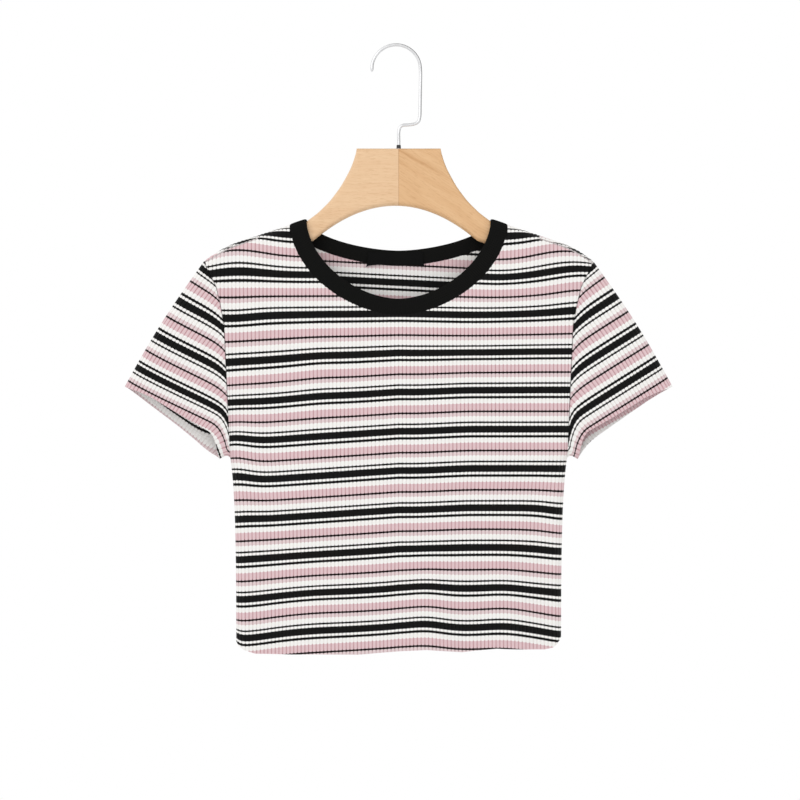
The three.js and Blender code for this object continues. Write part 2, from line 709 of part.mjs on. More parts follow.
const colours = {
  knit: new THREE.MeshStandardMaterial({ color: 0xe9d9da, roughness: 0.9, metalness: 0 }),
  band: new THREE.MeshStandardMaterial({ color: 0x151515, roughness: 0.85, metalness: 0 }),
  label: new THREE.MeshStandardMaterial({ color: 0x0c0c0e, roughness: 0.5, metalness: 0 }),
  wood: new THREE.MeshStandardMaterial({ color: 0xe0b585, roughness: 0.45, metalness: 0 }),
  steel: new THREE.MeshStandardMaterial({ color: 0xc9cbce, roughness: 0.15, metalness: 1 }),
  ferrule: new THREE.MeshStandardMaterial({ color: 0x2a2a2c, roughness: 0.5, metalness: 0 }),
};

const top = new THREE.Group();

function place(name, geometry, material, group = top) {
  const mesh = new THREE.Mesh(geometry, material);
  mesh.name = name;
  group.add(mesh);
  return mesh;
}

place("front_panel", panelGeometry(FRONT), colours.knit);
place("back_panel", panelGeometry(BACK), colours.knit);
place("sleeve_right", sleeveGeometry(1, cuffDrop.right), colours.knit);
place("sleeve_left", sleeveGeometry(-1, cuffDrop.left), colours.knit);
place("neckband", neckbandGeometry(), colours.band);
place("neck_label", labelGeometry(), colours.label);
for (const [name, side] of [["hanger_arm_left", -1], ["hanger_arm_right", 1]]) {
  const arm = solidFrom(hangerGeometry(side)).subtract(solidFrom(stemHole));
  place(name, geometryFrom(arm), colours.wood);
}
place("hook", hookGeometry(), colours.steel);
place("hook_ferrule", ferruleGeometry(), colours.ferrule);

export default top;
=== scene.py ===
"""Looks of a cropped, striped rib-knit top that hangs on a wooden hanger with a wire hook.

The frame is in metres, +Z up, and the front faces -Y. The origin is the inside top of the hook.
Shapes are worked out in millimetres from the same formulas as the solids, and scaled at the end.
"""
import math

import bpy
import numpy as np
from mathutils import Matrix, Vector


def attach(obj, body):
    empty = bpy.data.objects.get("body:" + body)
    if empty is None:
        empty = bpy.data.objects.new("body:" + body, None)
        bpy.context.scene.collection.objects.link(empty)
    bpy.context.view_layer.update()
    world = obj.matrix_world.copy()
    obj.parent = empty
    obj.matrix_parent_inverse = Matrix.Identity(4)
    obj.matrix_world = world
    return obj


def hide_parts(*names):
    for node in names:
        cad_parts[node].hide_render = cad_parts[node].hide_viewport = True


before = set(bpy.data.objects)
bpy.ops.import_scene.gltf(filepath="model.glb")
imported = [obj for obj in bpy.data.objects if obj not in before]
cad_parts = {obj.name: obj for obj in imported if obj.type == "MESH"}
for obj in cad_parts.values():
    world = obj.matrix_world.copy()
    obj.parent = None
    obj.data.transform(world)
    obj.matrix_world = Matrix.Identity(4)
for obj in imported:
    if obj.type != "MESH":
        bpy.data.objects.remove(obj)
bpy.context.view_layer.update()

bl_info = {
    "name": "Crop Top on Hanger",
    "version": (1, 0, 0),
    "blender": (4, 2, 0),
    "location": "View3D > Sidebar > Crop Top",
    "description": "Builds a striped rib-knit crop top, its hanger and a plain studio around the solids",
    "category": "Add Mesh",
}

LOOK = "look_"
MM = 0.001
FRONT = -1
BACK = 1
QUARTER = math.pi / 2

# The cloth: its wall, the gap at its seams, how square its ribs are and how much of them shows inside.
WALL = 1.5
SEAM_GAP = 0.3
RIB_POWER = 3.2
INSIDE_RIBS = 0.35

# The shoulder line, from the neck out to the sleeve head, and the round fold of cloth over the hanger.
SHOULDER = {
    "neck_x": 83, "neck_z": -156.6, "slope": 0.34, "bend_x": 145, "bend": 0.008, "fold": 8.6,
    "tip_x": 174, "tip_cut": 4, "tight_length": 20, "fold_length": 13.5,
}

# The body below the arms: half widths, the fold at each side seam, and the level of the underarm.
BODY = {
    "underarm_z": -371, "underarm_half": 151.5, "hem_half": 146, "narrowing": 40, "side_fold": 9,
    "hem_z": -545.3,
}
FLAT_HALF = BODY["underarm_half"] - BODY["side_fold"] + BODY["side_fold"] * QUARTER

# The mesh of front and back: ribs across the body and beside each armhole, rows over the shoulder's fold, and
# rows from there to the foot of the armhole's flare, to the underarm and to the hem.
PANEL = {"ribs": 90, "side_ribs": 5, "fold_rows": 9, "lower_rows": (14, 27, 37)}

# Which way is out of the cloth, roughly: up on the fold, and a little sideways beyond this distance.
PANEL_OUT = {"fold_top": 5, "side_from": 140, "side_lean": 0.1}

# The lower edge of the front and back, from one side to the other.
HEM = {
    "x": [-147, -145, -139, -129, -96, -74, -36, 0, 25, 57, 88, 113, 131, 139, 143, 147],
    "z": [
        -534, -540, -544.3, -547.6, -548, -547.5, -547.9, -544.8,
        -543.4, -546, -542.5, -543.6, -543.8, -542, -538.4, -531,
    ],
}

# The armhole: where it leaves the straight side, how fast it opens, and its curve up to the shoulder.
ARMHOLE = {"flare_z": -252, "slit_height": 26}
ARMHOLE_CURVE = {"x": [156.64, 159.8, 163.6, 168.2, 172.6], "z": [-252, -234, -218, -208.5, -200]}

# Points along the armhole seam, where the sleeve starts: at the shoulder tip, over the curve, down the side.
TRACK = {"tip": 8, "curve": 80, "side": 120}

# Half depth of the body at its sides, and how much fuller it is at the middle of front and back.
FULLNESS = {
    "z": [-546, -371, -240, -160],
    "side": [10.5, 9.2, 8.8, 8.6],
    FRONT: [7, 5, 2.5, 0],
    BACK: [5, 3, 1.2, 0],
}

# Soft upright folds: place across, half width, how far out (or in), and the level where each fades away.
DRAPE_FOLDS = {
    FRONT: [
        {"x": -118, "width": 22, "out": -2.6, "fade_z": -330},
        {"x": -70, "width": 26, "out": 2.8, "fade_z": -400},
        {"x": 25, "width": 24, "out": 3.2, "fade_z": -430},
        {"x": 63, "width": 18, "out": -3.4, "fade_z": -440},
        {"x": 95, "width": 20, "out": 3, "fade_z": -420},
        {"x": 126, "width": 15, "out": -2.8, "fade_z": -300},
    ],
    BACK: [
        {"x": -95, "width": 24, "out": 3, "fade_z": -380},
        {"x": -40, "width": 24, "out": -2.8, "fade_z": -420},
        {"x": 20, "width": 26, "out": 3.2, "fade_z": -400},
        {"x": 84, "width": 22, "out": -2.6, "fade_z": -350},
    ],
}

# Faint slanted pulls in the cloth below each armhole: start, direction, length, width and height.
PULLS = [
    {"x": 148, "z": -352, "run": (-0.8, -0.6), "long": 42, "wide": 7, "out": 0.9},
    {"x": 146, "z": -318, "run": (-0.93, -0.37), "long": 34, "wide": 6, "out": 0.7},
    {"x": -148, "z": -350, "run": (0.86, -0.51), "long": 50, "wide": 8, "out": 1.1},
    {"x": -147, "z": -312, "run": (0.94, -0.34), "long": 36, "wide": 6, "out": 0.8},
]
# Each pull rises over its first millimetres, and fades between these shares of its length.
PULL_ENDS = {"rise": 12, "fade_from": 0.3, "fade_to": 1.5}

# Neck openings as rounded curves below the shoulder points: half width, depth, squareness.
NECK_SEAM = {
    FRONT: {"half": 97.8, "depth": 81.2, "power": 1.8},
    BACK: {"half": 97.8, "depth": 35.4, "power": 1.7},
}
NECK_EDGE = {
    FRONT: {"half": 83, "depth": 71.7, "power": 1.8},
    BACK: {"half": 83, "depth": 27.3, "power": 1.7},
}

# The neckband: how far it laps over the seam, its fine ribs with the columns of the mesh in each, and their
# rise, which is a smaller share of that inside. Its normals look this far ahead, and lean up where it folds.
BAND = {
    "overlap": 0.6, "ribs": 246, "columns": 4, "samples": 8001, "rib_rise": 0.3, "inside_share": 0.5,
    "inside_from": -0.3, "look_ahead": 0.006, "fold_sine": 0.2, "fold_lean": 4.0, "cloth_across": 0.42,
}

# The neckband's section: across from its seam (0) to its free edge (1), and out from the cloth.
BAND_SECTION = {
    "across": [0, 0.02, 0.06, 0.13, 0.3, 0.5, 0.7, 0.86, 0.94, 0.985, 1, 0.985, 0.93, 0.8, 0.5, 0.2, 0.05, 0],
    "out": [
        -0.7, 0.2, 0.62, 0.85, 0.95, 1, 1, 0.9, 0.6, 0.1, -0.35, -0.8, -1.2, -1.45, -1.5, -1.5, -1.45, -1.25,
    ],
}

# Sleeves: a tube that leaves the shoulder tip along a slanted line, with folds at its top and underarm. Each
# face has this many ribs. The cuff's edge is given by how far along it lies at each place across.
ALONG = (0.533, -0.846)
ACROSS = (-0.846, -0.533)
SLEEVE = {
    "cuff_width": 105.5, "bow": 2.5, "fold": 8.6, "cuff_full": 9.8, "middle_full": 2, "free_length": 16,
    "least_length": 2, "pressed_from": 0.4, "ribs": 35, "rows": 44,
}
CUFF_EDGE = {
    "across": [0, 12, 25, 60, 78, 86, 91, 97, 105.5],
    "front": [134, 131.2, 129.2, 128.8, 128, 127.8, 129.8, 134.5, 144],
    "back": [134, 135, 136.3, 139.5, 141.8, 143.2, 143.8, 144.2, 144],
}

# Where the stripes lie. On the body they count down from the shoulder, on a sleeve up from the cuff.
# Along the shoulder line a narrow edge of the front keeps a course of its own.
STRIPE = {
    "repeat": 35.28, "front_start": 341.2, "back_start": 206.5, "back_tilt": 0.05, "whole": 10,
    "ridge_length": 6.9, "ridge_from": 127, "ridge_start": 178.5, "ridge_tilt": 0.029,
}

# Where the fine line lies in a repeat on the sleeves.
FINE_LINE_SHARE = 25.5 / 35.3

# Each repeat of the stripes from its top, in millimetres, and the yarn that starts there.
STRIPE_ORDER = [
    (0, "black"), (1.3, "white"), (3.85, "black"), (9.85, "white"), (12.15, "black"), (14.2, "white"),
    (18.9, "pink"), (25.25, "line"), (26.75, "pale"), (30.1, "white"),
]

# How the front's stripes leave their level course across the whole width. Each range is a distance across,
# or down from the rail, over which the change grows or fades.
DROOP = {
    "left_slope": 0.068, "left_least": 0.1, "left_grows": (225, 308),
    "right_lift": 1.9, "right_across": (10, 70), "right_grows": (245, 300), "right_fades": (440, 500),
    "corner_sag": 6.5, "corner_x": 133, "corner_most": 1.1, "corner_power": 3, "corner_grows": (400, 535),
    "hem_sag": 1.6, "hem_x": 60, "hem_wide": 24, "hem_lift": 1.9, "hem_grows": (470, 540),
}

# Where the front's stripes also sag (down) or ride up in one place: its middle, half width and half height.
STRIPE_WAVES = [
    {"x": -144, "z": -182, "wide": 34, "tall": 27, "down": -6.5},
    {"x": -176, "z": -190, "wide": 12, "tall": 12, "down": 2},
    {"x": 165, "z": -212, "wide": 30, "tall": 35, "down": -5},
    {"x": 140, "z": -180, "wide": 24, "tall": 18, "down": -3},
    {"x": 178, "z": -188, "wide": 12, "tall": 10, "down": 2.5},
    {"x": 92, "z": -198, "wide": 28, "tall": 28, "down": 2.6},
    {"x": -150, "z": -243, "wide": 25, "tall": 20, "down": 2},
    {"x": -150, "z": -372, "wide": 17, "tall": 36, "down": -4.6},
    {"x": -135, "z": -532, "wide": 26, "tall": 50, "down": 2.2},
    {"x": -151, "z": -538, "wide": 7, "tall": 14, "down": -5},
    {"x": -75, "z": -510, "wide": 28, "tall": 45, "down": -1.1},
    {"x": -72, "z": -300, "wide": 25, "tall": 40, "down": -1.1},
    {"x": 24, "z": -512, "wide": 20, "tall": 48, "down": -2.4},
    {"x": 97, "z": -508, "wide": 24, "tall": 45, "down": -2.5},
    {"x": 65, "z": -250, "wide": 45, "tall": 50, "down": 1.2},
    {"x": 152, "z": -425, "wide": 22, "tall": 28, "down": 3.2},
    {"x": 150, "z": -491, "wide": 28, "tall": 16, "down": -1.6},
    {"x": -138, "z": -395, "wide": 16, "tall": 55, "down": -1.1},
]

# Each sleeve's stripes: where its fine lines lie along it, how they slant across, lift at the top and are
# pulled at the underarm. At the back of the cuff the left ones follow the back's own edge, and the right ones
# go on straight. The cuff's back drops by a share of its full depth, and is pressed flatter by a share.
SLEEVE_STRIPES = {
    "right": {
        "lines": [-18, 17.8, 55.8, 90.6, 124.8, 159], "slant": 0, "top_lift": 0, "underarm": 9.5,
        "own_edge": 0, "edge_level": 0, "behind_top": 3.5, "drop": 0.6, "pressed": 0.5,
    },
    "left": {
        "lines": [-14, 24, 62.5, 98, 129.6, 163], "slant": 0.118, "top_lift": 1.8, "underarm": 9.5,
        "own_edge": 1, "edge_level": 126.8, "behind_top": 0, "drop": 1, "pressed": 0.2,
    },
}
# The number of the first fine line in each list.
FIRST_LINE = -1

# Where those changes start and how soon they fade: lengths across and along a sleeve, and shares of the way
# round its back.
SLEEVE_PULL = {
    "underarm_from": 83, "underarm_wide": 20, "underarm_most": 1.2, "top_fade": 20,
    "seam_dip": 4, "seam_fade": 9, "own_turn": (0, 0.07), "behind_turn": (0, 0.15),
}

# The hanger's arms meet at the middle, and swing a little forward towards their ends.
HANGER = {
    "top_z": -92.2, "top_half": 37.9, "arch_z": -144, "arch_curve": 0.0058, "arch_shift": 3, "arch_end": 74,
    "arm_slope": 0.345, "end": 166, "half": 5.1, "corner": 4.8, "clear": 3, "settle": 12, "joint": 0.01,
    "sweep": 8, "sweep_at": 170, "low_sweep": 0.3, "sweep_grows": (-420, -215),
}

# The rounded end of an arm: its length, and by how much its height and thickness draw in.
HANGER_TIP = {"length": 9, "lower": 0.8, "thinner": 0.6}

# The mesh of an arm: points along its flat top, its hollow neck, its arm and its tip, and round each corner.
# The neck is smoothed in rounds, over a span of points, from just beyond the sharp corner of the top.
ARM = {
    "top_points": 30, "neck_points": 90, "neck_step": 0.25, "neck_end": 100,
    "arm_points": 40, "arm_start": 101, "tip_points": 14, "corner_points": 9, "corner_most": 0.98,
    "rounds": 3, "span": 5, "sharp": 1.5,
}

# The edge of the hollow neck, from the flat top out to the arm.
HANGER_NECK = {
    "x": [37.9, 39.6, 43.9, 52.2, 61.9, 72.3, 84],
    "z": [-92.2, -101, -111.5, -126.6, -139.6, -150, -158.9],
}

# The hook is bent from one wire: an arc over the rail, a straight back, and an offset down to the stem.
HOOK = {
    "wire": 1.4, "arc": 22, "arc_x": -2.4, "tip_turn": 6, "turn_steps": 10, "line_steps": 12,
    "round_points": 24, "tip_rings": 6, "tip_taper": 0.95,
}
HOOK_LOWER = {
    "x": [0, 0, 0, 0, 0.9, 3.4, 9, 14.2, 17.6, 18.9, 19.3, 19.6],
    "z": [-114, -98, -86, -77, -73.4, -71.4, -70.9, -70, -68, -64, -52, -36],
}

# The ferrule's section as pairs of radius and height above its foot, which stands just clear of the wood.
FERRULE = {
    "foot": 0.15, "round_points": 40,
    "section": [(1.5, 0), (1.95, 0), (2, 0.5), (1.95, 2.1), (1.85, 2.8), (1.7, 3.1), (1.5, 3)],
}

# The label: its edges and thickness, its mesh, how its lower edge sags towards the ends, and how its corners
# spread and its face ripples.
LABEL = {
    "left": -28, "right": 22, "top": -185.5, "bottom": -197.5, "thick": 0.9, "columns": 60, "rows": 12,
    "sag": 1.2, "sag_power": 4, "lift": 0.8, "corner_sag": 1.3, "corner_power": 40,
    "spread": 2, "spread_power": 20, "spread_down": 4, "ripple": 0.25, "ripple_turn": 0.21,
}

# The knit's finish: courses of stitches in one repeat of the stripes, columns of them on a rib, how much each
# leans, how deep its slant and its fuzz are, and about how many ribs are as wide as a repeat is tall.
STITCH = {"courses": 30.0, "columns": 2.0, "lean": 0.5, "depth": 0.8, "stretch": 9.0}
# How narrow the grooves are, both for the stripes that run into them and for the painted shade in them.
GROOVE_POWER = 5.0

# Stripe edges: how far they sit below their line and run into the grooves, in millimetres, and how ragged
# they are, as a share of a repeat.
STRIPE_EDGE = {"below": 0.5, "run": 0.85, "ragged": 0.016}

# The label's weave: the pitch of its threads both ways, in millimetres.
WEAVE = {"warp": 0.45, "weft": 0.6}

# The wood's grain: how many marks fit in a metre each way, how far the lines wander in metres, and the turn
# of the grain on each arm.
GRAIN = {
    "bands": (14, 60, 190), "flecks": (160, 500, 1500), "lines": (30, 120, 900),
    "wander": 0.012, "wander_scale": 16.0, "left_turn": (0, 0.06, 0), "right_turn": (0, 0.55, 0),
}

# One darker streak of grain slants down the right arm: its slope, its level at the middle, half its width in
# millimetres, its shade, and how it fades towards the end of the arm.
VEIN = {
    "slope": 0.55, "level": -0.0856, "half": 2.2, "shade": (0.84, 0.77, 0.68),
    "fade": -30.0, "fade_start": 1.6,
}

# The wire's scratches and the ferrule's mottle as marks in a metre, and how rough the wire is between and on
# its scratches.
METAL = {"scratches": (900, 900, 120), "rough": 0.08, "rougher": 0.12, "mottle": 900.0}

# The studio: the key lamp's size and place, the floor's corners and shade, the film's width in millimetres
# and how far the camera sees.
STUDIO = {
    "lamp_size": 1.6, "lamp_place": (-1.3, -2.0, 0.9), "floor_corners": 64,
    "floor_shade": (0.85, 0.85, 0.85, 1), "film_width": 36, "far_limit": 20,
}

# A dark card above and to the right, behind the top, which only shiny surfaces mirror: the way to it,
# and how the light falls from its rim to its middle.
CARD = {"towards": (0.55, 0.6, 0.5), "range": (0.5, 0.8, 1.0, 0.0)}

# How nearly a rod's last ring closes, what counts as nothing, and from how many degrees an edge is sharp.
NEARLY_ALL = 0.999
TINY = 1e-9
SHARP_ANGLE = 50
WHITE = (1, 1, 1)

# Where Blender's Mix node keeps its colours: both inputs and the output.
MIX_COLOURS = (6, 7)
MIX_RESULT = 2


def smooth(value, low, high):
    """A soft step from 0 to 1 between two values."""
    share = np.clip((value - low) / (high - low), 0, 1)
    return share * share * (3 - 2 * share)


def mix(a, b, share):
    """The value that lies a share of the way from a to b."""
    return a + (b - a) * share


def bell(value, middle, width):
    """A soft hump of height 1."""
    return np.exp(-(((value - middle) / width) ** 2))


def round_fold(length, radius):
    """How far in, and which share of the way out, a length of cloth reaches over a quarter-round fold."""
    turn = np.minimum(length / radius, QUARTER)
    return radius * (1 - np.cos(turn)) + np.maximum(0, length - radius * QUARTER), np.sin(turn)


def fold_length(along, radius):
    """The length of cloth that reaches so far in round a fold."""
    bent = radius * np.arccos(np.clip(1 - np.maximum(along, 0) / radius, 0, 1))
    return np.where(along >= radius, radius * QUARTER + along - radius, bent)


def shoulder_z(x):
    """Level of the shoulder line."""
    a = np.abs(x)
    drop = SHOULDER["slope"] * (a - SHOULDER["neck_x"])
    return SHOULDER["neck_z"] - drop - SHOULDER["bend"] * np.maximum(0, a - SHOULDER["bend_x"]) ** 2


def middle_y(x, z):
    """The middle plane between front and back follows the hanger's sweep, and straightens lower down."""
    relax = mix(HANGER["low_sweep"], 1, smooth(z, *HANGER["sweep_grows"]))
    return -HANGER["sweep"] * (x / HANGER["sweep_at"]) ** 2 * relax


def half_depth(x, z, face):
    """How far front or back stands from the middle plane, with its folds and pulls."""
    fuller = np.interp(z, FULLNESS["z"], FULLNESS[face])
    depth = np.interp(z, FULLNESS["z"], FULLNESS["side"])
    depth = depth + fuller * np.maximum(0, 1 - (x / BODY["underarm_half"]) ** 2)
    for fold in DRAPE_FOLDS[face]:
        grown = 1 - smooth(z, BODY["hem_z"], fold["fade_z"])
        depth = depth + fold["out"] * grown * bell(x, fold["x"], fold["width"])
    for pull in PULLS:
        run = (x - pull["x"]) * pull["run"][0] + (z - pull["z"]) * pull["run"][1]
        aside = (x - pull["x"]) * pull["run"][1] - (z - pull["z"]) * pull["run"][0]
        fading = smooth(run, PULL_ENDS["fade_from"] * pull["long"], PULL_ENDS["fade_to"] * pull["long"])
        along = smooth(run, 0, PULL_ENDS["rise"]) * (1 - fading)
        depth = depth + pull["out"] * along * bell(aside, 0, pull["wide"])
    return depth


def across_body(u, z):
    """Cloth folds round to the side seam below the arms and lies open above them."""
    below = np.maximum(0, BODY["underarm_z"] - z)
    above = np.maximum(0, z - BODY["underarm_z"])
    half = mix(BODY["hem_half"], BODY["underarm_half"], np.exp(-below / BODY["narrowing"]))
    flat = FLAT_HALF - BODY["underarm_half"] + half
    along, out = round_fold(np.maximum(0, (FLAT_HALF - np.abs(u)) * flat / FLAT_HALF), BODY["side_fold"])
    open_x = np.clip(above / (ARMHOLE["flare_z"] - BODY["underarm_z"]), 0, 1)
    open_y = np.sqrt(1 - (1 - np.minimum(1, above / ARMHOLE["slit_height"])) ** 2)
    return np.sign(u) * mix(half - along, np.abs(u), open_x), mix(out, 1, open_y)


def body_point(u, s, face):
    """A point of the body's cloth: u runs across from the middle, s down from the shoulder line."""
    along, over = round_fold(s, SHOULDER["fold"])
    z = shoulder_z(u) - along
    x, out = across_body(u, z)
    y = middle_y(x, z) + face * (SEAM_GAP / 2 + over * out * half_depth(x, z, face))
    return np.stack([x, y, z + 0 * x], -1)


def surface_point(x, z, face):
    """A point of front or back at x and z, without the gap of the shoulder seam."""
    out = round_fold(fold_length(shoulder_z(x) - z, SHOULDER["fold"]), SHOULDER["fold"])[1]
    return np.stack([x, middle_y(x, z) + face * out * half_depth(x, z, face), z], -1)


def neck_curve(shape, turn):
    """A point of a rounded neck opening at an angle round it, counted from its right end."""
    c, s = np.cos(turn), np.abs(np.sin(turn))
    x = shape["half"] * np.sign(c) * np.abs(c) ** (2 / shape["power"])
    return x, shoulder_z(shape["half"]) - shape["depth"] * s ** (2 / shape["power"])


def top_length(u, face):
    """Cloth length from the shoulder line down to the neck seam."""
    shape = NECK_SEAM[face]
    share = np.minimum(1, np.abs(u) / shape["half"])
    level = shoulder_z(shape["half"]) - shape["depth"] * (1 - share ** shape["power"]) ** (1 / shape["power"])
    return np.where(share < 1, fold_length(shoulder_z(u) - level, SHOULDER["fold"]), 0)


def hem_length(u):
    """Cloth length from the shoulder line down to the hem."""
    x = across_body(u, np.full_like(u, BODY["hem_z"]))[0]
    return level_length(u, np.interp(x, HEM["x"], HEM["z"]))


def level_length(u, z):
    """Cloth length from the shoulder line down to a level."""
    return fold_length(shoulder_z(u) - z, SHOULDER["fold"])


def armhole_length(u):
    """Cloth length from the shoulder line down to the armhole seam."""
    a = np.abs(u)
    start = ARMHOLE_CURVE["x"][-1]
    share = np.clip((a - start) / (SHOULDER["tip_x"] - start), 0, 1)
    curve = level_length(u, np.interp(a, ARMHOLE_CURVE["x"], ARMHOLE_CURVE["z"]))
    return mix(curve, SHOULDER["tip_cut"], share)


def finite(function, a, b, step=0.05):
    """The two directions of a surface that is given as a function of two lengths."""
    da = function(a + step, b) - function(a - step, b)
    db = function(a, b + step) - function(a, np.maximum(0, b - step))
    return da, db


def unit(vectors):
    """The same directions at length 1."""
    return vectors / np.maximum(np.linalg.norm(vectors, axis=-1, keepdims=True), TINY)


def facing(normals, outward):
    """Normals turned to the same side as a rough way out."""
    return normals * np.where((normals * outward).sum(-1, keepdims=True) < 0, -1, 1)


def rib_height(ribs):
    """Broad rounded ribs with narrow grooves: 0 in a groove, 1 on a rib."""
    return 1 - np.abs(2 * (ribs % 1) - 1) ** RIB_POWER


def cloth_sides(base, normal, ribs_at, knit):
    """The outer side of the knit with its ribs, and the inner side, where they show faintly."""
    rise = rib_height(ribs_at)[..., None] * knit.rib_rise / MM
    return base + normal * rise, base - normal * (knit.wall / MM - INSIDE_RIBS * rise)


def as_list(grid):
    """The points of a grid, or the corners of its faces, as one list."""
    return grid.reshape(-1, grid.shape[-1])


def shell_mesh(name, outer, inner, quads, cloth):
    """A closed wall between two sheets of points, with a rim wherever the sheets end."""
    outer, inner, quads, cloth = (as_list(grid) for grid in (outer, inner, quads, cloth))
    count = len(outer)
    edges = np.concatenate([quads[:, [0, 1]], quads[:, [1, 2]], quads[:, [2, 3]], quads[:, [3, 0]]])
    keys = np.sort(edges, 1) @ np.array([count, 1])
    _, first, uses = np.unique(keys, return_index=True, return_counts=True)
    rim = edges[first[uses == 1]]
    rim_quads = np.stack([rim[:, 1], rim[:, 0], rim[:, 0] + count, rim[:, 1] + count], 1)
    faces = np.concatenate([quads, quads[:, ::-1] + count, rim_quads])
    points = np.concatenate([outer, inner]) * MM
    return closed_mesh(name, points, faces, np.concatenate([cloth, cloth]))


def closed_mesh(name, points, quads, cloth=None):
    """A mesh whose faces are turned so that all of them look outwards."""
    a, b, c, d = (points[quads[:, k]] for k in range(4))
    six_volumes = (np.cross(a, b) * c + np.cross(a, c) * d).sum()
    return quad_mesh(name, points, quads[:, ::-1] if six_volumes < 0 else quads, cloth)


def quad_mesh(name, points, faces, cloth=None):
    """An object of four-cornered faces, with the place of each corner in the cloth."""
    used = np.unique(faces)
    place = np.zeros(len(points), int)
    place[used] = np.arange(len(used))
    faces = place[faces]
    mesh = bpy.data.meshes.new(name)
    mesh.vertices.add(len(used))
    mesh.vertices.foreach_set("co", points[used].astype(np.float32).ravel())
    mesh.loops.add(faces.size)
    mesh.loops.foreach_set("vertex_index", faces.astype(np.int32).ravel())
    mesh.polygons.add(len(faces))
    mesh.polygons.foreach_set("loop_start", np.arange(0, faces.size, 4, dtype=np.int32))
    if cloth is not None:
        layer = mesh.uv_layers.new(name="cloth")
        layer.data.foreach_set("uv", cloth[used][faces.ravel()].astype(np.float32).ravel())
    mesh.update(calc_edges=True)
    if mesh.validate():
        raise RuntimeError(f"{name}: the mesh has faults")
    mesh.polygons.foreach_set("use_smooth", np.ones(len(faces), bool))
    mesh.set_sharp_from_angle(angle=math.radians(SHARP_ANGLE))
    found = bpy.data.objects.new(name, mesh)
    bpy.context.scene.collection.objects.link(found)
    return found


def grid_quads(rows, columns, closed=False):
    """The faces of a grid of points, which may close on itself across."""
    index = np.arange(rows * columns).reshape(rows, columns)
    right = np.roll(index, -1, 1) if closed else index[:, 1:]
    left = index if closed else index[:, :-1]
    return np.stack([left[:-1], right[:-1], right[1:], left[1:]], -1)


def front_droop(x, z):
    """How far the front's stripes lie below their level course."""
    down = -z
    left = DROOP["left_slope"] * np.maximum(0, -x)
    left = left * mix(DROOP["left_least"], 1, smooth(down, *DROOP["left_grows"]))
    right = DROOP["right_lift"] * smooth(x, *DROOP["right_across"]) * smooth(down, *DROOP["right_grows"])
    right = right * (1 - smooth(down, *DROOP["right_fades"]))
    corner = np.clip(x / DROOP["corner_x"], 0, DROOP["corner_most"]) ** DROOP["corner_power"]
    corner = DROOP["corner_sag"] * corner * smooth(down, *DROOP["corner_grows"])
    hem = DROOP["hem_sag"] * bell(x, DROOP["hem_x"], DROOP["hem_wide"]) - DROOP["hem_lift"]
    droop = left - right + corner + hem * smooth(down, *DROOP["hem_grows"])
    for wave in STRIPE_WAVES:
        droop = droop + wave["down"] * bell(x, wave["x"], wave["wide"]) * bell(z, wave["z"], wave["tall"])
    return droop


def body_stripes(u, s, point, face):
    """Stripe repeats down the front or back, with the droop of the front's cloth."""
    x, z = point[..., 0], point[..., 2]
    down = s - shoulder_z(u) - SHOULDER["fold"] * (QUARTER - 1)
    if face == BACK:
        return (down - STRIPE["back_tilt"] * x - STRIPE["back_start"]) / STRIPE["repeat"] + STRIPE["whole"]
    ridge = (s < STRIPE["ridge_length"]) & (np.abs(x) > STRIPE["ridge_from"])
    start = np.where(ridge, STRIPE["ridge_start"] + STRIPE["ridge_tilt"] * x, STRIPE["front_start"])
    down = np.where(ridge, -shoulder_z(u) + s, down - front_droop(x, z))
    return (down - start) / STRIPE["repeat"] + STRIPE["whole"]


def panel_grid(face, columns):
    """Lengths across and down for every point of front or back, and the row at the foot of the flare."""
    fold, side_columns = SHOULDER["fold_length"], PANEL["side_ribs"] * columns
    main = np.linspace(-FLAT_HALF, FLAT_HALF, PANEL["ribs"] * columns + 1)
    side = np.linspace(FLAT_HALF, SHOULDER["tip_x"], side_columns + 1)[1:]
    u = np.concatenate([-side[::-1], main, side])[None, :]
    edge = np.array([FLAT_HALF])
    marks = [level_length(edge, z)[0] for z in (ARMHOLE["flare_z"], BODY["underarm_z"])]
    marks = [fold, *marks, hem_length(edge)[0]]
    spans = zip(marks, marks[1:], PANEL["lower_rows"])
    lower = np.concatenate([np.linspace(start, end, rows + 1)[1:] for start, end, rows in spans])
    flare_row = PANEL["fold_rows"] + PANEL["lower_rows"][0] - 1

    top = top_length(u, face)
    fold_rows = np.linspace(0, fold, PANEL["fold_rows"])[:, None]
    share = (lower - fold) / (marks[-1] - fold)
    s = np.concatenate([fold_rows + top, mix(top + fold, hem_length(u[0]), share[:, None])])
    long = armhole_length(u)
    tight = np.minimum(1, long / SHOULDER["tight_length"])
    edge_rows = s[:, side_columns] - fold
    side_share = (edge_rows / edge_rows[flare_row])[PANEL["fold_rows"]:, None]
    side_rows = np.concatenate([fold_rows * tight, mix(fold * tight, long, side_share)])
    s = np.where(np.abs(u) > FLAT_HALF + TINY, side_rows, s)
    return u + 0 * s, s, flare_row


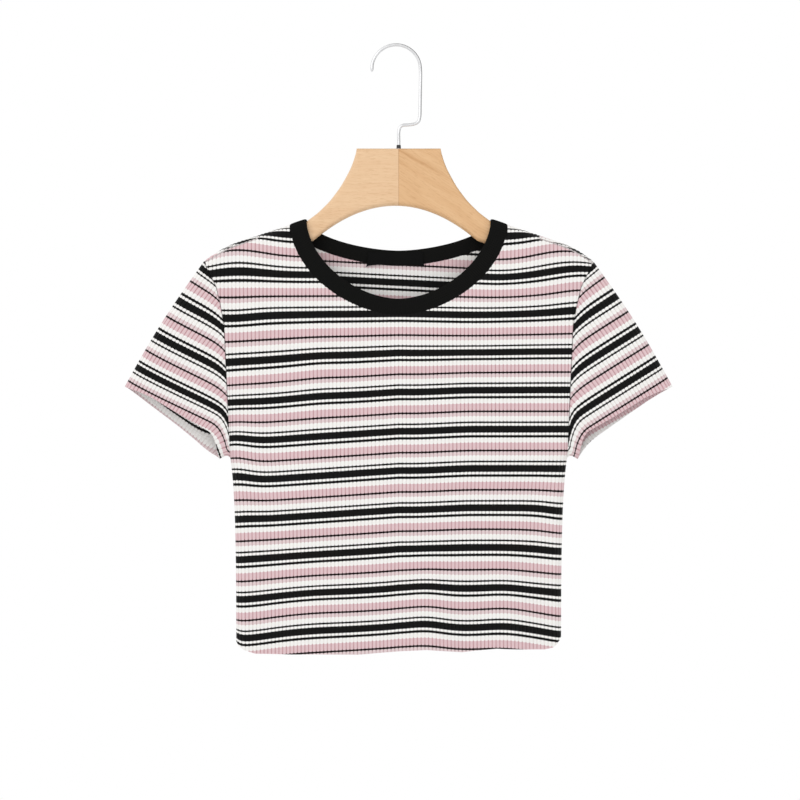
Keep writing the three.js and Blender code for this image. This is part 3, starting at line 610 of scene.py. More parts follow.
def panel_object(name, face, knit):
    """Front or back: the body and, beside each armhole, the cloth that reaches out to the shoulder tip."""
    columns = knit.columns_per_rib
    u, s, flare_row = panel_grid(face, columns)

    def surface(across, down):
        return body_point(across, down, face)

    base = surface(u, s)
    aside = np.sign(u) * np.maximum(0, np.abs(u) - PANEL_OUT["side_from"]) * PANEL_OUT["side_lean"]
    up = np.where(s < PANEL_OUT["fold_top"], 1.0, 0.0)
    normal = facing(unit(np.cross(*finite(surface, u, s))), np.stack([aside, face + 0 * u, up], -1))
    ribs_at = np.arange(u.shape[1])[None, :] / columns + 0 * u
    outer, inner = cloth_sides(base, normal, ribs_at, knit)
    quads = grid_quads(*u.shape)
    kept = np.ones(quads.shape[:2], bool)
    side_columns = PANEL["side_ribs"] * columns
    kept[flare_row:, :side_columns] = False
    kept[flare_row:, -side_columns:] = False
    cloth = np.stack([ribs_at, body_stripes(u, s, base, face)], -1)
    return shell_mesh(name, outer, inner, quads[kept], cloth)


def armhole_track(face):
    """The armhole seam as sleeve coordinates: along, across and depth."""
    tip, edge = SHOULDER["tip_x"], np.array([FLAT_HALF])
    curve = np.linspace(tip, FLAT_HALF, TRACK["curve"])
    down = np.linspace(0, SHOULDER["tip_cut"], TRACK["tip"])
    top, bottom = (level_length(edge, z) for z in (ARMHOLE["flare_z"], BODY["underarm_z"]))
    side = mix(top, bottom, np.linspace(0, 1, TRACK["side"]))
    u = np.concatenate([np.full(len(down), tip), curve[1:], np.full(len(side) - 1, FLAT_HALF)])
    s = np.concatenate([down, armhole_length(curve)[1:], side[1:]])
    p = body_point(u, s, face)
    x, z = p[:, 0] - tip, p[:, 2] - shoulder_z(tip)
    across = np.maximum.accumulate(x * ACROSS[0] + z * ACROSS[1])
    return {"along": x * ALONG[0] + z * ALONG[1], "across": across, "y": p[:, 1] - middle_y(p[:, 0], p[:, 2])}


def sleeve_grid(shape, per_face):
    """A sleeve's cloth: rows from the armhole seam down to the cuff, and points round from its top fold."""
    turn = np.arange(2 * per_face) / per_face
    down = np.linspace(0, 1, SLEEVE["rows"])[:, None]
    front = (turn < 1)[None, :]
    share = np.where(turn < 1, turn, 2 - turn)[None, :]
    track = {face: armhole_track(face) for face in (FRONT, BACK)}
    width = mix(track[FRONT]["across"][-1], SLEEVE["cuff_width"], down)
    cloth_width = width + SLEEVE["fold"] * (math.pi - 2)
    upper_in, upper_out = round_fold(share * cloth_width, SLEEVE["fold"])
    lower_in, lower_out = round_fold(cloth_width * (1 - share), SLEEVE["fold"])
    across = np.where(share < 0.5, upper_in, width - lower_in)
    out = np.minimum(upper_out, lower_out)

    def at_seam(key):
        ahead, behind = (np.interp(across, track[face]["across"], track[face][key]) for face in (FRONT, BACK))
        return np.where(front, ahead, behind)

    seam = at_seam("along") + SEAM_GAP
    cuff_front = np.interp(across, CUFF_EDGE["across"], CUFF_EDGE["front"])
    cuff_back = np.interp(across, CUFF_EDGE["across"], CUFF_EDGE["back"])
    cuff = np.where(front, cuff_front, mix(cuff_front, cuff_back, shape["drop"]))
    cuff = np.maximum(cuff, seam + SLEEVE["least_length"])
    along = mix(seam, cuff, down)
    raised = across - SLEEVE["bow"] * np.sin(math.pi * down) * (1 - across / width)
    x = SHOULDER["tip_x"] + SEAM_GAP + along * ALONG[0] + raised * ACROSS[0]
    z = shoulder_z(SHOULDER["tip_x"]) + along * ALONG[1] + raised * ACROSS[1]
    full = mix(SHOULDER["fold"], SLEEVE["cuff_full"], down)
    full = full + SLEEVE["middle_full"] * np.sin(math.pi * share) * down
    full = full * np.where(front, 1, 1 - shape["pressed"] * smooth(down, SLEEVE["pressed_from"], 1))
    free = smooth(along - seam, 0, SLEEVE["free_length"])
    depth = mix(at_seam("y"), np.where(front, FRONT, BACK) * out * full, free)
    depth = np.where((share == 0) | (share == 1), 0, depth)
    points = np.stack([x, middle_y(x, z) + depth, z], -1)
    grid = {"front": front, "share": share, "down": down, "across": across, "along": along}
    grid.update({"from_top": across / width, "from_seam": along - seam, "cuff": cuff, "points": points})
    return grid


def sleeve_stripes(shape, grid):
    """Stripe repeats up a sleeve, counted between its fine lines."""
    across, down = grid["across"], grid["down"]
    own = np.where(grid["front"], 0, shape["own_edge"] * smooth(grid["share"], *SLEEVE_PULL["own_turn"]))
    turned = smooth(grid["share"], *SLEEVE_PULL["behind_turn"])
    behind = np.where(grid["front"], 0, shape["behind_top"] * (1 - grid["from_top"]) * turned)
    behind = behind + own * (grid["cuff"] - shape["edge_level"])
    underarm = (across - SLEEVE_PULL["underarm_from"]) / SLEEVE_PULL["underarm_wide"]
    underarm = np.clip(underarm, 0, SLEEVE_PULL["underarm_most"])
    slant = shape["slant"] * across - shape["underarm"] * underarm**2
    dip = SLEEVE_PULL["seam_dip"] * np.exp(-grid["from_seam"] / SLEEVE_PULL["seam_fade"])
    lift = shape["top_lift"] * np.exp(-across / SLEEVE_PULL["top_fade"]) - dip - behind * down
    numbers = FIRST_LINE + np.arange(len(shape["lines"]))
    lines = np.interp(grid["along"] + slant * (1 - own * down) + lift, shape["lines"], numbers)
    return FINE_LINE_SHARE - lines + STRIPE["whole"]


def sleeve_object(name, side, shape, knit):
    """A short sleeve: a tube of cloth from the armhole seam to the cuff."""
    per_face = SLEEVE["ribs"] * knit.columns_per_rib
    grid = sleeve_grid(shape, per_face)
    base = grid["points"]
    around = np.roll(base, -1, 1) - np.roll(base, 1, 1)
    normal = unit(np.cross(around, np.gradient(base, axis=0)))
    if ((base - base.mean(1, keepdims=True)) * normal).sum() < 0:
        normal = -normal
    ribs_at = np.arange(2 * per_face)[None, :] / knit.columns_per_rib + 0 * grid["along"]
    outer, inner = (points * (side, 1, 1) for points in cloth_sides(base, normal, ribs_at, knit))
    cloth = np.stack([ribs_at, sleeve_stripes(shape, grid)], -1)
    return shell_mesh(name, outer, inner, grid_quads(*ribs_at.shape, closed=True), cloth)


def band_point(turn, across):
    """A point of the neckband: turn goes round the neck, across from the seam to the free edge."""
    points = []
    for face in (FRONT, BACK):
        seam_shape = dict(NECK_SEAM[face])
        for key in ("half", "depth"):
            seam_shape[key] += BAND["overlap"]
        seam_x, seam_z = neck_curve(seam_shape, turn)
        edge_x, edge_z = neck_curve(NECK_EDGE[face], turn)
        points.append(surface_point(mix(seam_x, edge_x, across), mix(seam_z, edge_z, across), face))
    return np.where((turn % (2 * math.pi) <= math.pi)[..., None], points[0], points[1])


def neckband_object(name, knit):
    """One ring of fine rib, folded over the hanger at both shoulders."""
    count = BAND["ribs"] * BAND["columns"]
    fine = np.linspace(0, 2 * math.pi, BAND["samples"])
    line = band_point(fine, np.full_like(fine, 0.5))
    length = np.concatenate([[0], np.cumsum(np.linalg.norm(np.diff(line, axis=0), axis=1))])
    turn = np.interp(np.arange(count) / count * length[-1], length, fine)[:, None]
    out = np.array(BAND_SECTION["out"])[None, :]
    turn, across = np.broadcast_arrays(turn, np.array(BAND_SECTION["across"])[None, :])
    around = band_point(turn + BAND["look_ahead"], across) - band_point(turn - BAND["look_ahead"], across)
    inward = band_point(turn, np.ones_like(across)) - band_point(turn, np.zeros_like(across))
    up = np.where(np.abs(np.sin(turn)) < BAND["fold_sine"], BAND["fold_lean"], 0.0)
    rough = np.stack([0 * up, np.where(turn <= math.pi, FRONT, BACK), up], -1)
    normal = facing(unit(np.cross(around, inward)), rough)
    ribs_at = np.arange(count)[:, None] / BAND["columns"] + 0 * across
    relief = BAND["rib_rise"] * (rib_height(ribs_at) - 0.5) * np.where(out > 0, 1, BAND["inside_share"])
    relief = relief * np.sign(out - BAND["inside_from"])
    points = band_point(turn, across) + normal * (out + relief)[..., None]
    index = np.arange(across.size).reshape(across.shape)
    ahead = np.roll(index, -1, 0)
    quads = np.stack([index, np.roll(index, -1, 1), np.roll(ahead, -1, 1), ahead], -1)
    cloth = np.stack([ribs_at, across * BAND["cloth_across"]], -1)
    return closed_mesh(name, as_list(points) * MM, as_list(quads), as_list(cloth))


def rings_mesh(name, rings):
    """A rod of rings that is closed by a small cap at each end."""
    ends = [mix(ring, ring.mean(1, keepdims=True), NEARLY_ALL) for ring in (rings[:1], rings[-1:])]
    points = np.concatenate([ends[0], rings, ends[1]])
    rows, around = points.shape[:2]
    fans = []
    for start, way in ((0, -1), ((rows - 1) * around, 1)):
        for k in range(1, around - 1, 2):
            fans.append([start, start + k, start + k + 1, start + (k + 2) % around][::way])
    quads = as_list(grid_quads(rows, around, closed=True))
    return closed_mesh(name, as_list(points) * MM, np.concatenate([quads, fans]))


def label_object(name):
    """A bare strip on the inside of the back, sewn down at its top edge."""
    x = np.linspace(LABEL["left"], LABEL["right"], LABEL["columns"])[None, :]
    share = np.linspace(0, 1, LABEL["rows"])[:, None]
    from_middle = 2 * (x - LABEL["left"]) / (LABEL["right"] - LABEL["left"]) - 1
    sag = LABEL["sag"] * from_middle ** LABEL["sag_power"] - LABEL["lift"]
    sag = sag + LABEL["corner_sag"] * from_middle ** LABEL["corner_power"]
    z = mix(LABEL["top"], LABEL["bottom"], share) - sag * share
    spread = LABEL["spread"] * np.sign(from_middle) * from_middle ** LABEL["spread_power"]
    x = x + spread * share ** LABEL["spread_down"]
    base = surface_point(x, z, BACK)
    base[..., 1] -= WALL + SEAM_GAP + LABEL["ripple"] * (np.sin(x * LABEL["ripple_turn"]) + 1) * share
    far = base - (0, LABEL["thick"], 0)
    return shell_mesh(name, far, base, grid_quads(*x.shape), np.stack([x, z], -1))


def hanger_top(x):
    """The upper edge of an arm: level at the middle, hollow at the neck, then along under the shoulder."""
    neck_end = HANGER_NECK["x"][-1]
    neck = np.interp(x, HANGER_NECK["x"], HANGER_NECK["z"])
    for _ in range(ARM["rounds"]):
        padded = np.pad(neck, ARM["span"] // 2, "edge")
        softer = np.convolve(padded, np.ones(ARM["span"]) / ARM["span"], "valid")
        neck = np.where(x > HANGER["top_half"] + ARM["sharp"], softer, neck)
    settle = np.clip((x - neck_end) / HANGER["settle"], 0, 1)
    straight = HANGER_NECK["z"][-1] - SHOULDER["slope"] * (x - neck_end)
    arm = mix(straight, shoulder_z(x) - HANGER["clear"], settle)
    return np.where(x <= HANGER["top_half"], HANGER["top_z"], np.where(x < neck_end, neck, arm))


def hanger_bottom(x, side):
    """The arch under the middle, with its crown a little to the left, and the straight arm beyond."""
    from_crown = x + side * HANGER["arch_shift"]
    arch = HANGER["arch_z"] - HANGER["arch_curve"] * np.minimum(from_crown, HANGER["arch_end"]) ** 2
    return arch - HANGER["arm_slope"] * np.maximum(0, from_crown - HANGER["arch_end"])


def hanger_object(name, side):
    """One arm of the hanger, from the middle joint out to its rounded end."""
    end, tip_length = HANGER["end"], HANGER_TIP["length"]
    x = np.concatenate([
        np.linspace(HANGER["joint"], HANGER["top_half"], ARM["top_points"]),
        np.linspace(HANGER["top_half"] + ARM["neck_step"], ARM["neck_end"], ARM["neck_points"]),
        np.linspace(ARM["arm_start"], end - tip_length, ARM["arm_points"]),
        end - tip_length * (1 - np.sin(np.linspace(0, QUARTER, ARM["tip_points"])[1:])),
    ])
    tip = np.clip((x - (end - tip_length)) / tip_length, 0, 1)
    top, bottom = hanger_top(x), hanger_bottom(x, side)
    middle = (top + bottom) / 2
    tall = (top - bottom) / 2 * np.sqrt(1 - HANGER_TIP["lower"] * tip**2)
    half = HANGER["half"] * np.sqrt(1 - HANGER_TIP["thinner"] * tip**2)
    across_round = np.minimum(HANGER["corner"], half * ARM["corner_most"])
    up_round = np.minimum(across_round, tall)
    rings = []
    for number, (side_y, side_z) in enumerate([(1, 1), (-1, 1), (-1, -1), (1, -1)]):
        for angle in np.linspace(number * QUARTER, (number + 1) * QUARTER, ARM["corner_points"]):
            y = side_y * (half - across_round) + across_round * np.cos(angle)
            z = middle + side_z * (tall - up_round) + up_round * np.sin(angle)
            rings.append(np.stack([side * x, y + middle_y(x, SHOULDER["neck_z"]), z], -1))
    return rings_mesh(name, np.stack(rings, 1))


def spline(points, steps):
    """A smooth line through the points."""
    padded = np.concatenate([[2 * points[0] - points[1]], points, [2 * points[-1] - points[-2]]])
    line = []
    for k in range(1, len(padded) - 2):
        near = padded[k - 1: k + 3]
        knots = np.concatenate([[0], np.cumsum(np.sqrt(np.linalg.norm(np.diff(near, axis=0), axis=1)))])
        t = np.linspace(knots[1], knots[2], steps, endpoint=False)[:, None]
        first = [mix(near[i], near[i + 1], (t - knots[i]) / (knots[i + 1] - knots[i])) for i in range(3)]
        second = [mix(first[i], first[i + 1], (t - knots[i]) / (knots[i + 2] - knots[i])) for i in range(2)]
        line.append(mix(second[0], second[1], (t - knots[1]) / (knots[2] - knots[1])))
    return np.concatenate(line + [points[-1:]])


def hook_object(name):
    """The wire hook: an arc over the rail, a straight back, an offset and a stem."""
    centre_z = -math.sqrt((HOOK["arc"] - HOOK["wire"]) ** 2 - HOOK["arc_x"] ** 2)
    turns = np.radians(np.linspace(0, 180 + HOOK["tip_turn"], HOOK["turn_steps"] + 1))
    arc = np.stack([HOOK["arc_x"] + HOOK["arc"] * np.cos(turns), centre_z + HOOK["arc"] * np.sin(turns)], -1)
    points = np.concatenate([np.stack([HOOK_LOWER["x"], HOOK_LOWER["z"]], -1), arc])
    line = spline(points, HOOK["line_steps"])
    run = unit(np.gradient(line, axis=0))
    aside = np.stack([-run[:, 1], run[:, 0]], -1)
    radius = np.full(len(line), HOOK["wire"])
    rings_at_tip = HOOK["tip_rings"]
    radius[-rings_at_tip:] = HOOK["wire"] * np.sqrt(1 - np.linspace(0, HOOK["tip_taper"], rings_at_tip) ** 2)
    rings = []
    for angle in np.linspace(0, 2 * math.pi, HOOK["round_points"], endpoint=False):
        off = aside * (radius * math.cos(angle))[:, None]
        rings.append(np.stack([line[:, 0] + off[:, 0], radius * math.sin(angle), line[:, 1] + off[:, 1]], -1))
    return rings_mesh(name, np.stack(rings, 1))


def ferrule_object(name):
    """The small dark sleeve at the foot of the hook."""
    angles = np.linspace(0, 2 * math.pi, FERRULE["round_points"], endpoint=False)
    radius, height = (column[:, None] for column in np.array(FERRULE["section"]).T)
    level = HANGER["top_z"] + FERRULE["foot"] + height + 0 * angles
    points = as_list(np.stack([radius * np.cos(angles), radius * np.sin(angles), level], -1)) * MM
    quads = as_list(grid_quads(len(radius) + 1, len(angles), closed=True)) % len(points)
    return closed_mesh(name, points, quads)


class Graph:
    """A material's node tree, with short calls to add to it."""

    def __init__(self, name, rough, **values):
        """Starts a material with its roughness and other settings of the shader."""
        self.material = bpy.data.materials.new(LOOK + name)
        self.material.use_nodes = True
        self.nodes = self.material.node_tree.nodes
        self.links = self.material.node_tree.links
        self.shader = self.nodes["Principled BSDF"]
        self.put(self.shader.inputs["Roughness"], rough)
        for key, value in values.items():
            self.put(self.shader.inputs[key.replace("_", " ")], value)

    def put(self, socket, value):
        """Sets a socket, or links it to another node's output."""
        if isinstance(value, bpy.types.NodeSocket):
            self.links.new(value, socket)
        else:
            socket.default_value = value

    def node(self, kind, inputs=(), **settings):
        """Adds a node with its settings and inputs."""
        made = self.nodes.new("ShaderNode" + kind)
        for key, value in settings.items():
            setattr(made, key, value)
        for key, value in dict(inputs).items():
            self.put(made.inputs[key], value)
        return made

    def math(self, operation, *values):
        """One step of arithmetic."""
        made = self.node("Math", operation=operation)
        for socket, value in zip(made.inputs, values):
            self.put(socket, value)
        return made.outputs[0]

    def noise(self, vector, scale, detail):
        """Soft cloudy noise between 0 and 1."""
        return self.node("TexNoise", {"Vector": vector, "Scale": scale, "Detail": detail}).outputs["Fac"]

    def mapped(self, vector, scale, turn=(0, 0, 0)):
        """A place in the texture, with the texture made smaller and turned."""
        values = {"Vector": vector, "Scale": tuple(1 / s for s in scale), "Rotation": turn}
        return self.node("Mapping", values, vector_type="TEXTURE").outputs[0]

    def ramp(self, factor, stops, interpolation="LINEAR"):
        """Colours at stops along a factor."""
        made = self.node("ValToRGB", {"Fac": factor})
        made.color_ramp.interpolation = interpolation
        elements = made.color_ramp.elements
        while len(elements) < len(stops):
            elements.new(0.5)
        for element, (position, colour) in zip(elements, stops):
            element.position = position
            element.color = (*colour[:3], 1)
        return made.outputs["Color"]

    def blend(self, factor, a, b, mode="MIX"):
        """Two colours mixed in one of Blender's ways."""
        made = self.node("Mix", data_type="RGBA", blend_type=mode)
        for key, value in zip(("Factor", *MIX_COLOURS), (factor, a, b)):
            self.put(made.inputs[key], value)
        return made.outputs[MIX_RESULT]

    def multiply(self, *colours):
        """Colours that darken each other."""
        product = colours[0]
        for colour in colours[1:]:
            product = self.blend(1.0, product, colour, "MULTIPLY")
        return product

    def bump(self, height, distance, strength):
        """Fine relief from a height, which stands a distance high."""
        made = self.node("Bump", {"Height": height, "Distance": distance, "Strength": strength})
        self.put(self.shader.inputs["Normal"], made.outputs[0])

    def colour(self, value):
        """Gives the shader its colour, and returns the finished material."""
        self.put(self.shader.inputs["Base Color"], value)
        return self.material


def shade(colour, share):
    """A setting's colour made darker or lighter."""
    return tuple(share * c for c in colour[:3])


def cloth_axes(graph):
    """The two lengths that a piece of cloth carries: ribs counted across, and the way along them."""
    found = graph.node("SeparateXYZ", {"Vector": graph.node("UVMap", uv_map="cloth").outputs[0]})
    return found.outputs[0], found.outputs[1]


def yarn_place(graph, ribs, along):
    """A place on the knit for its noise, with both ways about as large."""
    stretched = graph.math("MULTIPLY", along, STITCH["stretch"])
    return graph.node("CombineXYZ", {"X": ribs, "Y": stretched}).outputs[0]


def from_centre(graph, cells):
    """How far a place is from the centre of its cell: 0 there, 1 at both edges."""
    return graph.math("ABSOLUTE", graph.math("MULTIPLY_ADD", graph.math("FRACT", cells), 2.0, -1.0))


def stitch_height(graph, ribs, along, fuzz):
    """Small V-shaped stitches, two columns to a rib, with fuzz on them."""
    slant = from_centre(graph, graph.math("MULTIPLY", ribs, STITCH["columns"]))
    courses = graph.math("MULTIPLY", along, STITCH["courses"])
    leaning = graph.math("ADD", courses, graph.math("MULTIPLY", slant, STITCH["lean"]))
    wave = graph.math("SINE", graph.math("MULTIPLY", leaning, 2 * math.pi))
    stitches = graph.math("SUBTRACT", wave, graph.math("MULTIPLY", slant, STITCH["depth"]))
    return graph.math("MULTIPLY_ADD", fuzz, STITCH["depth"], stitches)


def stripe_colours(graph, repeats, knit):
    """The yarns in their order down each repeat."""
    yarns = {"white": knit.white, "pink": knit.pink, "pale": knit.pale_pink}
    yarns.update({"black": knit.black, "line": knit.fine_line})
    stops = [(place / STRIPE["repeat"], yarns[yarn]) for place, yarn in STRIPE_ORDER]
    return graph.ramp(graph.math("FRACT", repeats), stops, "CONSTANT")


def striped_material(knit):
    """Knitted stripes whose edges run down into the grooves between the ribs, where painted shade darkens the
    yarns.
    """
    graph = Graph("striped_rib", rough=0.9, Specular_IOR_Level=0.12, Sheen_Weight=0.08, Sheen_Roughness=0.5)
    ribs, repeats = cloth_axes(graph)
    where = yarn_place(graph, ribs, repeats)
    groove = graph.math("POWER", from_centre(graph, ribs), GROOVE_POWER)
    ragged, below = STRIPE_EDGE["ragged"], STRIPE_EDGE["below"] / STRIPE["repeat"]
    wander = graph.noise(where, scale=3.1, detail=3.0)
    place = graph.math("ADD", repeats, graph.math("MULTIPLY_ADD", wander, ragged, below - ragged / 2))
    run = graph.math("MULTIPLY", groove, STRIPE_EDGE["run"] / STRIPE["repeat"])
    upper = stripe_colours(graph, graph.math("ADD", place, run), knit)
    lower = stripe_colours(graph, graph.math("SUBTRACT", place, run), knit)
    stripes = graph.blend(1.0, upper, lower, "DARKEN")
    # Painted shade between the ribs: the yarns raised to a power, darker and more saturated, blended in along
    # the groove mask.
    deeper = graph.node("Gamma", {"Color": stripes, "Gamma": knit.painted_groove_shade}).outputs[0]
    fuzz = graph.ramp(graph.noise(where, scale=9.0, detail=4.0), [(0.3, (0.88, 0.88, 0.88)), (0.62, WHITE)])
    height = stitch_height(graph, ribs, repeats, graph.noise(where, scale=14.0, detail=3.0))
    graph.bump(height, distance=0.00012, strength=0.5)
    return graph.colour(graph.multiply(graph.blend(groove, stripes, deeper), fuzz))


def black_material(knit):
    """The neckband's fine black rib."""
    graph = Graph("black_rib", rough=0.9, Specular_IOR_Level=0.06)
    ribs, across = cloth_axes(graph)
    fuzz = graph.noise(yarn_place(graph, ribs, across), scale=6.0, detail=4.0)
    graph.bump(stitch_height(graph, ribs, across, fuzz), distance=0.0001, strength=0.5)
    return graph.colour(graph.ramp(fuzz, [(0.3, shade(knit.band, 0.6)), (0.75, knit.band)]))


def label_material(knit):
    """A plain woven strip."""
    graph = Graph("label", rough=0.6, Specular_IOR_Level=0.05)
    along, up = cloth_axes(graph)
    warp = graph.math("SINE", graph.math("MULTIPLY", along, 2 * math.pi / WEAVE["warp"]))
    weft = graph.math("SINE", graph.math("MULTIPLY", up, 2 * math.pi / WEAVE["weft"]))
    weave = graph.math("MULTIPLY", warp, weft)
    graph.bump(weave, distance=0.00004, strength=0.4)
    return graph.colour(graph.ramp(weave, [(0.2, knit.label), (0.9, shade(knit.label, 1.6))]))


def wood_material(name, light, dark, turn, vein):
    """Beech with fine flecks and wavy lines along the grain, and a thin glue line where the arms meet."""
    graph = Graph(name, rough=0.42, Coat_Weight=0.15, Coat_Roughness=0.25)
    place = graph.node("TexCoord").outputs["Object"]
    wander = graph.node("TexNoise", {"Vector": place, "Scale": GRAIN["wander_scale"]}).outputs["Color"]
    stray = {0: wander, 1: (GRAIN["wander"],) * 3, 2: place}
    bent = graph.node("VectorMath", stray, operation="MULTIPLY_ADD").outputs[0]
    bands = graph.noise(graph.mapped(bent, GRAIN["bands"], turn), scale=1.0, detail=3.0)
    flecks = graph.noise(graph.mapped(place, GRAIN["flecks"], turn), scale=1.0, detail=2.0)
    fine = graph.noise(graph.mapped(bent, GRAIN["lines"], turn), scale=1.0, detail=1.0)
    base = graph.ramp(bands, [(0.35, light), (0.68, dark)])
    marks = graph.ramp(flecks, [(0.32, (0.89, 0.85, 0.8)), (0.45, WHITE)])
    lines = graph.ramp(fine, [(0.36, (0.96, 0.945, 0.92)), (0.5, WHITE)])
    axes = graph.node("SeparateXYZ", {"Vector": place})
    from_joint = graph.math("MULTIPLY", graph.math("ABSOLUTE", axes.outputs[0]), 1 / MM)
    glue_line = graph.ramp(from_joint, [(0.12, (0.78, 0.69, 0.6)), (0.55, WHITE)])
    coloured = graph.multiply(base, marks, lines, glue_line)
    if vein:
        bent_axes = graph.node("SeparateXYZ", {"Vector": bent})
        down = graph.math("MULTIPLY_ADD", bent_axes.outputs[0], vein["slope"], bent_axes.outputs[2])
        off = graph.math("MULTIPLY", graph.math("ADD", down, -vein["level"]), 1 / MM / vein["half"])
        streak = graph.ramp(graph.math("ABSOLUTE", off), [(0.1, vein["shade"]), (1, WHITE)])
        fade = graph.math("MULTIPLY_ADD", axes.outputs[0], vein["fade"], vein["fade_start"])
        fade = graph.node("Clamp", {"Value": fade}).outputs[0]
        coloured = graph.blend(fade, coloured, graph.multiply(coloured, streak))
    graph.bump(flecks, distance=0.00005, strength=0.5)
    return graph.colour(coloured)


def metal_material(settings):
    """Bright wire with faint scratches round it."""
    graph = Graph("chrome", rough=METAL["rough"], Metallic=1.0)
    place = graph.mapped(graph.node("TexCoord").outputs["Object"], METAL["scratches"])
    scratch = graph.noise(place, scale=1.0, detail=2.0)
    rough = graph.math("MULTIPLY_ADD", scratch, METAL["rougher"], METAL["rough"])
    graph.put(graph.shader.inputs["Roughness"], rough)
    return graph.colour(graph.ramp(scratch, [(0.3, shade(settings.wire, 0.85)), (0.7, settings.wire)]))


def ferrule_material(settings):
    """Dark lacquered metal with a fine mottle."""
    graph = Graph("ferrule", rough=0.5)
    mottle = graph.noise(graph.node("TexCoord").outputs["Object"], scale=METAL["mottle"], detail=2.0)
    graph.bump(mottle, distance=0.00003, strength=0.5)
    return graph.colour(graph.ramp(mottle, [(0.3, shade(settings.ferrule, 0.7)), (0.8, settings.ferrule)]))


def finish_piece(piece, material, slot, *nodes):
    """Gives a piece its material, lets it ride on the part, and takes the place of the CAD nodes."""
    piece.data.materials.append(material)
    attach(piece, "root")
    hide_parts(*nodes)
    return piece


def material_once(name, make, *values):
    """The material of that name, which is made the first time."""
    return bpy.data.materials.get(LOOK + name) or make(*values)


def colour_property(name, value, description):
    """A colour that a user can change."""
    settings = {"subtype": "COLOR", "size": 3, "min": 0, "max": 1}
    return bpy.props.FloatVectorProperty(name=name, description=description, default=value, **settings)


def length_property(name, value, description, **settings):
    """A length in metres that a user can change."""
    settings["unit"] = "LENGTH"
    return bpy.props.FloatProperty(name=name, description=description, default=value, **settings)


class CropTopKnit(bpy.types.PropertyGroup):
    """The cloth's sizes and colours."""

    wall: length_property("Wall", WALL * MM, "Thickness of the cloth", min=0.0005, max=0.003, precision=5)
    rib_rise: length_property(
        "Rib rise", 0.0006, "Height of a rib above its grooves", min=0, max=0.001, precision=5
    )
    columns_per_rib: bpy.props.IntProperty(
        name="Columns in a rib", description="Columns of the mesh across each rib", default=6, min=2, max=6
    )
    # Painted shade: how strongly the yarns are darkened between the ribs, where shade falls.
    painted_groove_shade: bpy.props.FloatProperty(
        name="Depth of colour in grooves",
        description="How much deeper the yarns look between the ribs",
        default=2.6,
        min=1,
        max=6,
    )
    white: colour_property("White yarn", (0.93, 0.915, 0.895), "Colour of the white stripes")
    pink: colour_property("Pink yarn", (0.765, 0.57, 0.592), "Colour of the pink stripes")
    pale_pink: colour_property(
        "Pale pink yarn", (0.78, 0.65, 0.66), "Colour of the pale stripe below each fine line"
    )
    black: colour_property("Black yarn", (0.0062, 0.0062, 0.006), "Colour of the black stripes")
    fine_line: colour_property(
        "Fine line yarn", (0.016, 0.01, 0.01), "Colour of the fine line in each pink stripe"
    )
    band: colour_property("Neckband yarn", (0.0085, 0.0085, 0.008), "Colour of the rib round the neck")
    label: colour_property("Label", (0.004, 0.004, 0.004), "Colour of the bare label inside the neck")


class CropTopHanger(bpy.types.PropertyGroup):
    """The colours of the hanger and its hook."""

    pale: colour_property("Left arm, light grain", (0.80, 0.545, 0.325), "Ground colour of the left arm")
    pale_dark: colour_property("Left arm, dark grain", (0.755, 0.492, 0.282), "Bands of the left arm")
    # The right arm's colours are darker than the left's: partly the beech's own tone, and partly painted
    # shade because the arms meet at an angle and the right one gets less light.
    shaded_warm: colour_property("Right arm, light grain", (0.74, 0.46, 0.235), "Ground colour of the right arm")
    shaded_warm_dark: colour_property("Right arm, dark grain", (0.69, 0.41, 0.198), "Bands of the right arm")
    wire: colour_property("Hook wire", (0.8, 0.8, 0.81), "Colour of the bright wire")
    ferrule: colour_property("Ferrule", (0.03, 0.03, 0.032), "Colour of the sleeve at the foot of the hook")


class CropTopStudio(bpy.types.PropertyGroup):
    """The floor, light and camera."""

    floor_level: length_property("Floor level", -1.15, "Level of the floor, from the inside top of the hook")
    floor_radius: length_property("Floor radius", 2.0, "Radius of the round floor", min=0.1)
    distance: length_property("Camera distance", 2.21, "How far in front of the top it stands", min=0.1)
    height: length_property("Camera height", -0.3195, "Its level, from the inside top of the hook")
    aside: length_property("Camera to the right", 0.0012, "How far right of the hook it stands")
    lens: bpy.props.FloatProperty(
        name="Lens", description="Focal length of the camera", default=110, min=1, unit="CAMERA"
    )
    sky: bpy.props.FloatProperty(
        name="Sky strength", description="Strength of the even light from all round", default=1.0, min=0
    )
    key: bpy.props.FloatProperty(
        name="Key light", description="Power of the lamp at the upper left", default=9.0, min=0, unit="POWER"
    )


class CROPTOP_OT_panels(bpy.types.Operator):
    """Build the front and the back of the top"""

    bl_idname = "croptop.panels"
    bl_label = "Front and Back"

    def execute(self, context):
        """Makes both panels."""
        knit = context.scene.crop_top_knit
        cloth = material_once("striped_rib", striped_material, knit)
        front = finish_piece(panel_object("front", FRONT, knit), cloth, "striped_rib", "front_panel")
        back = finish_piece(panel_object("back", BACK, knit), cloth, "striped_rib", "back_panel")
        return {"FINISHED"}


class CROPTOP_OT_sleeves(bpy.types.Operator):
    """Build both sleeves"""

    bl_idname = "croptop.sleeves"
    bl_label = "Sleeves"

    def execute(self, context):
        """Makes both sleeves."""
        knit = context.scene.crop_top_knit
        cloth = material_once("striped_rib", striped_material, knit)
        for side, word in ((1, "right"), (-1, "left")):
            sleeve = sleeve_object("sleeve_cloth_" + word, side, SLEEVE_STRIPES[word], knit)
            finish_piece(sleeve, cloth, "striped_rib", "sleeve_" + word)
        return {"FINISHED"}


class CROPTOP_OT_neckband(bpy.types.Operator):
    """Build the ring of rib round the neck"""

    bl_idname = "croptop.neckband"
    bl_label = "Neckband"

    def execute(self, context):
        """Makes the ring."""
        knit = context.scene.crop_top_knit
        band = neckband_object("band", knit)
        finish_piece(band, material_once("black_rib", black_material, knit), "black_rib", "neckband")
        return {"FINISHED"}


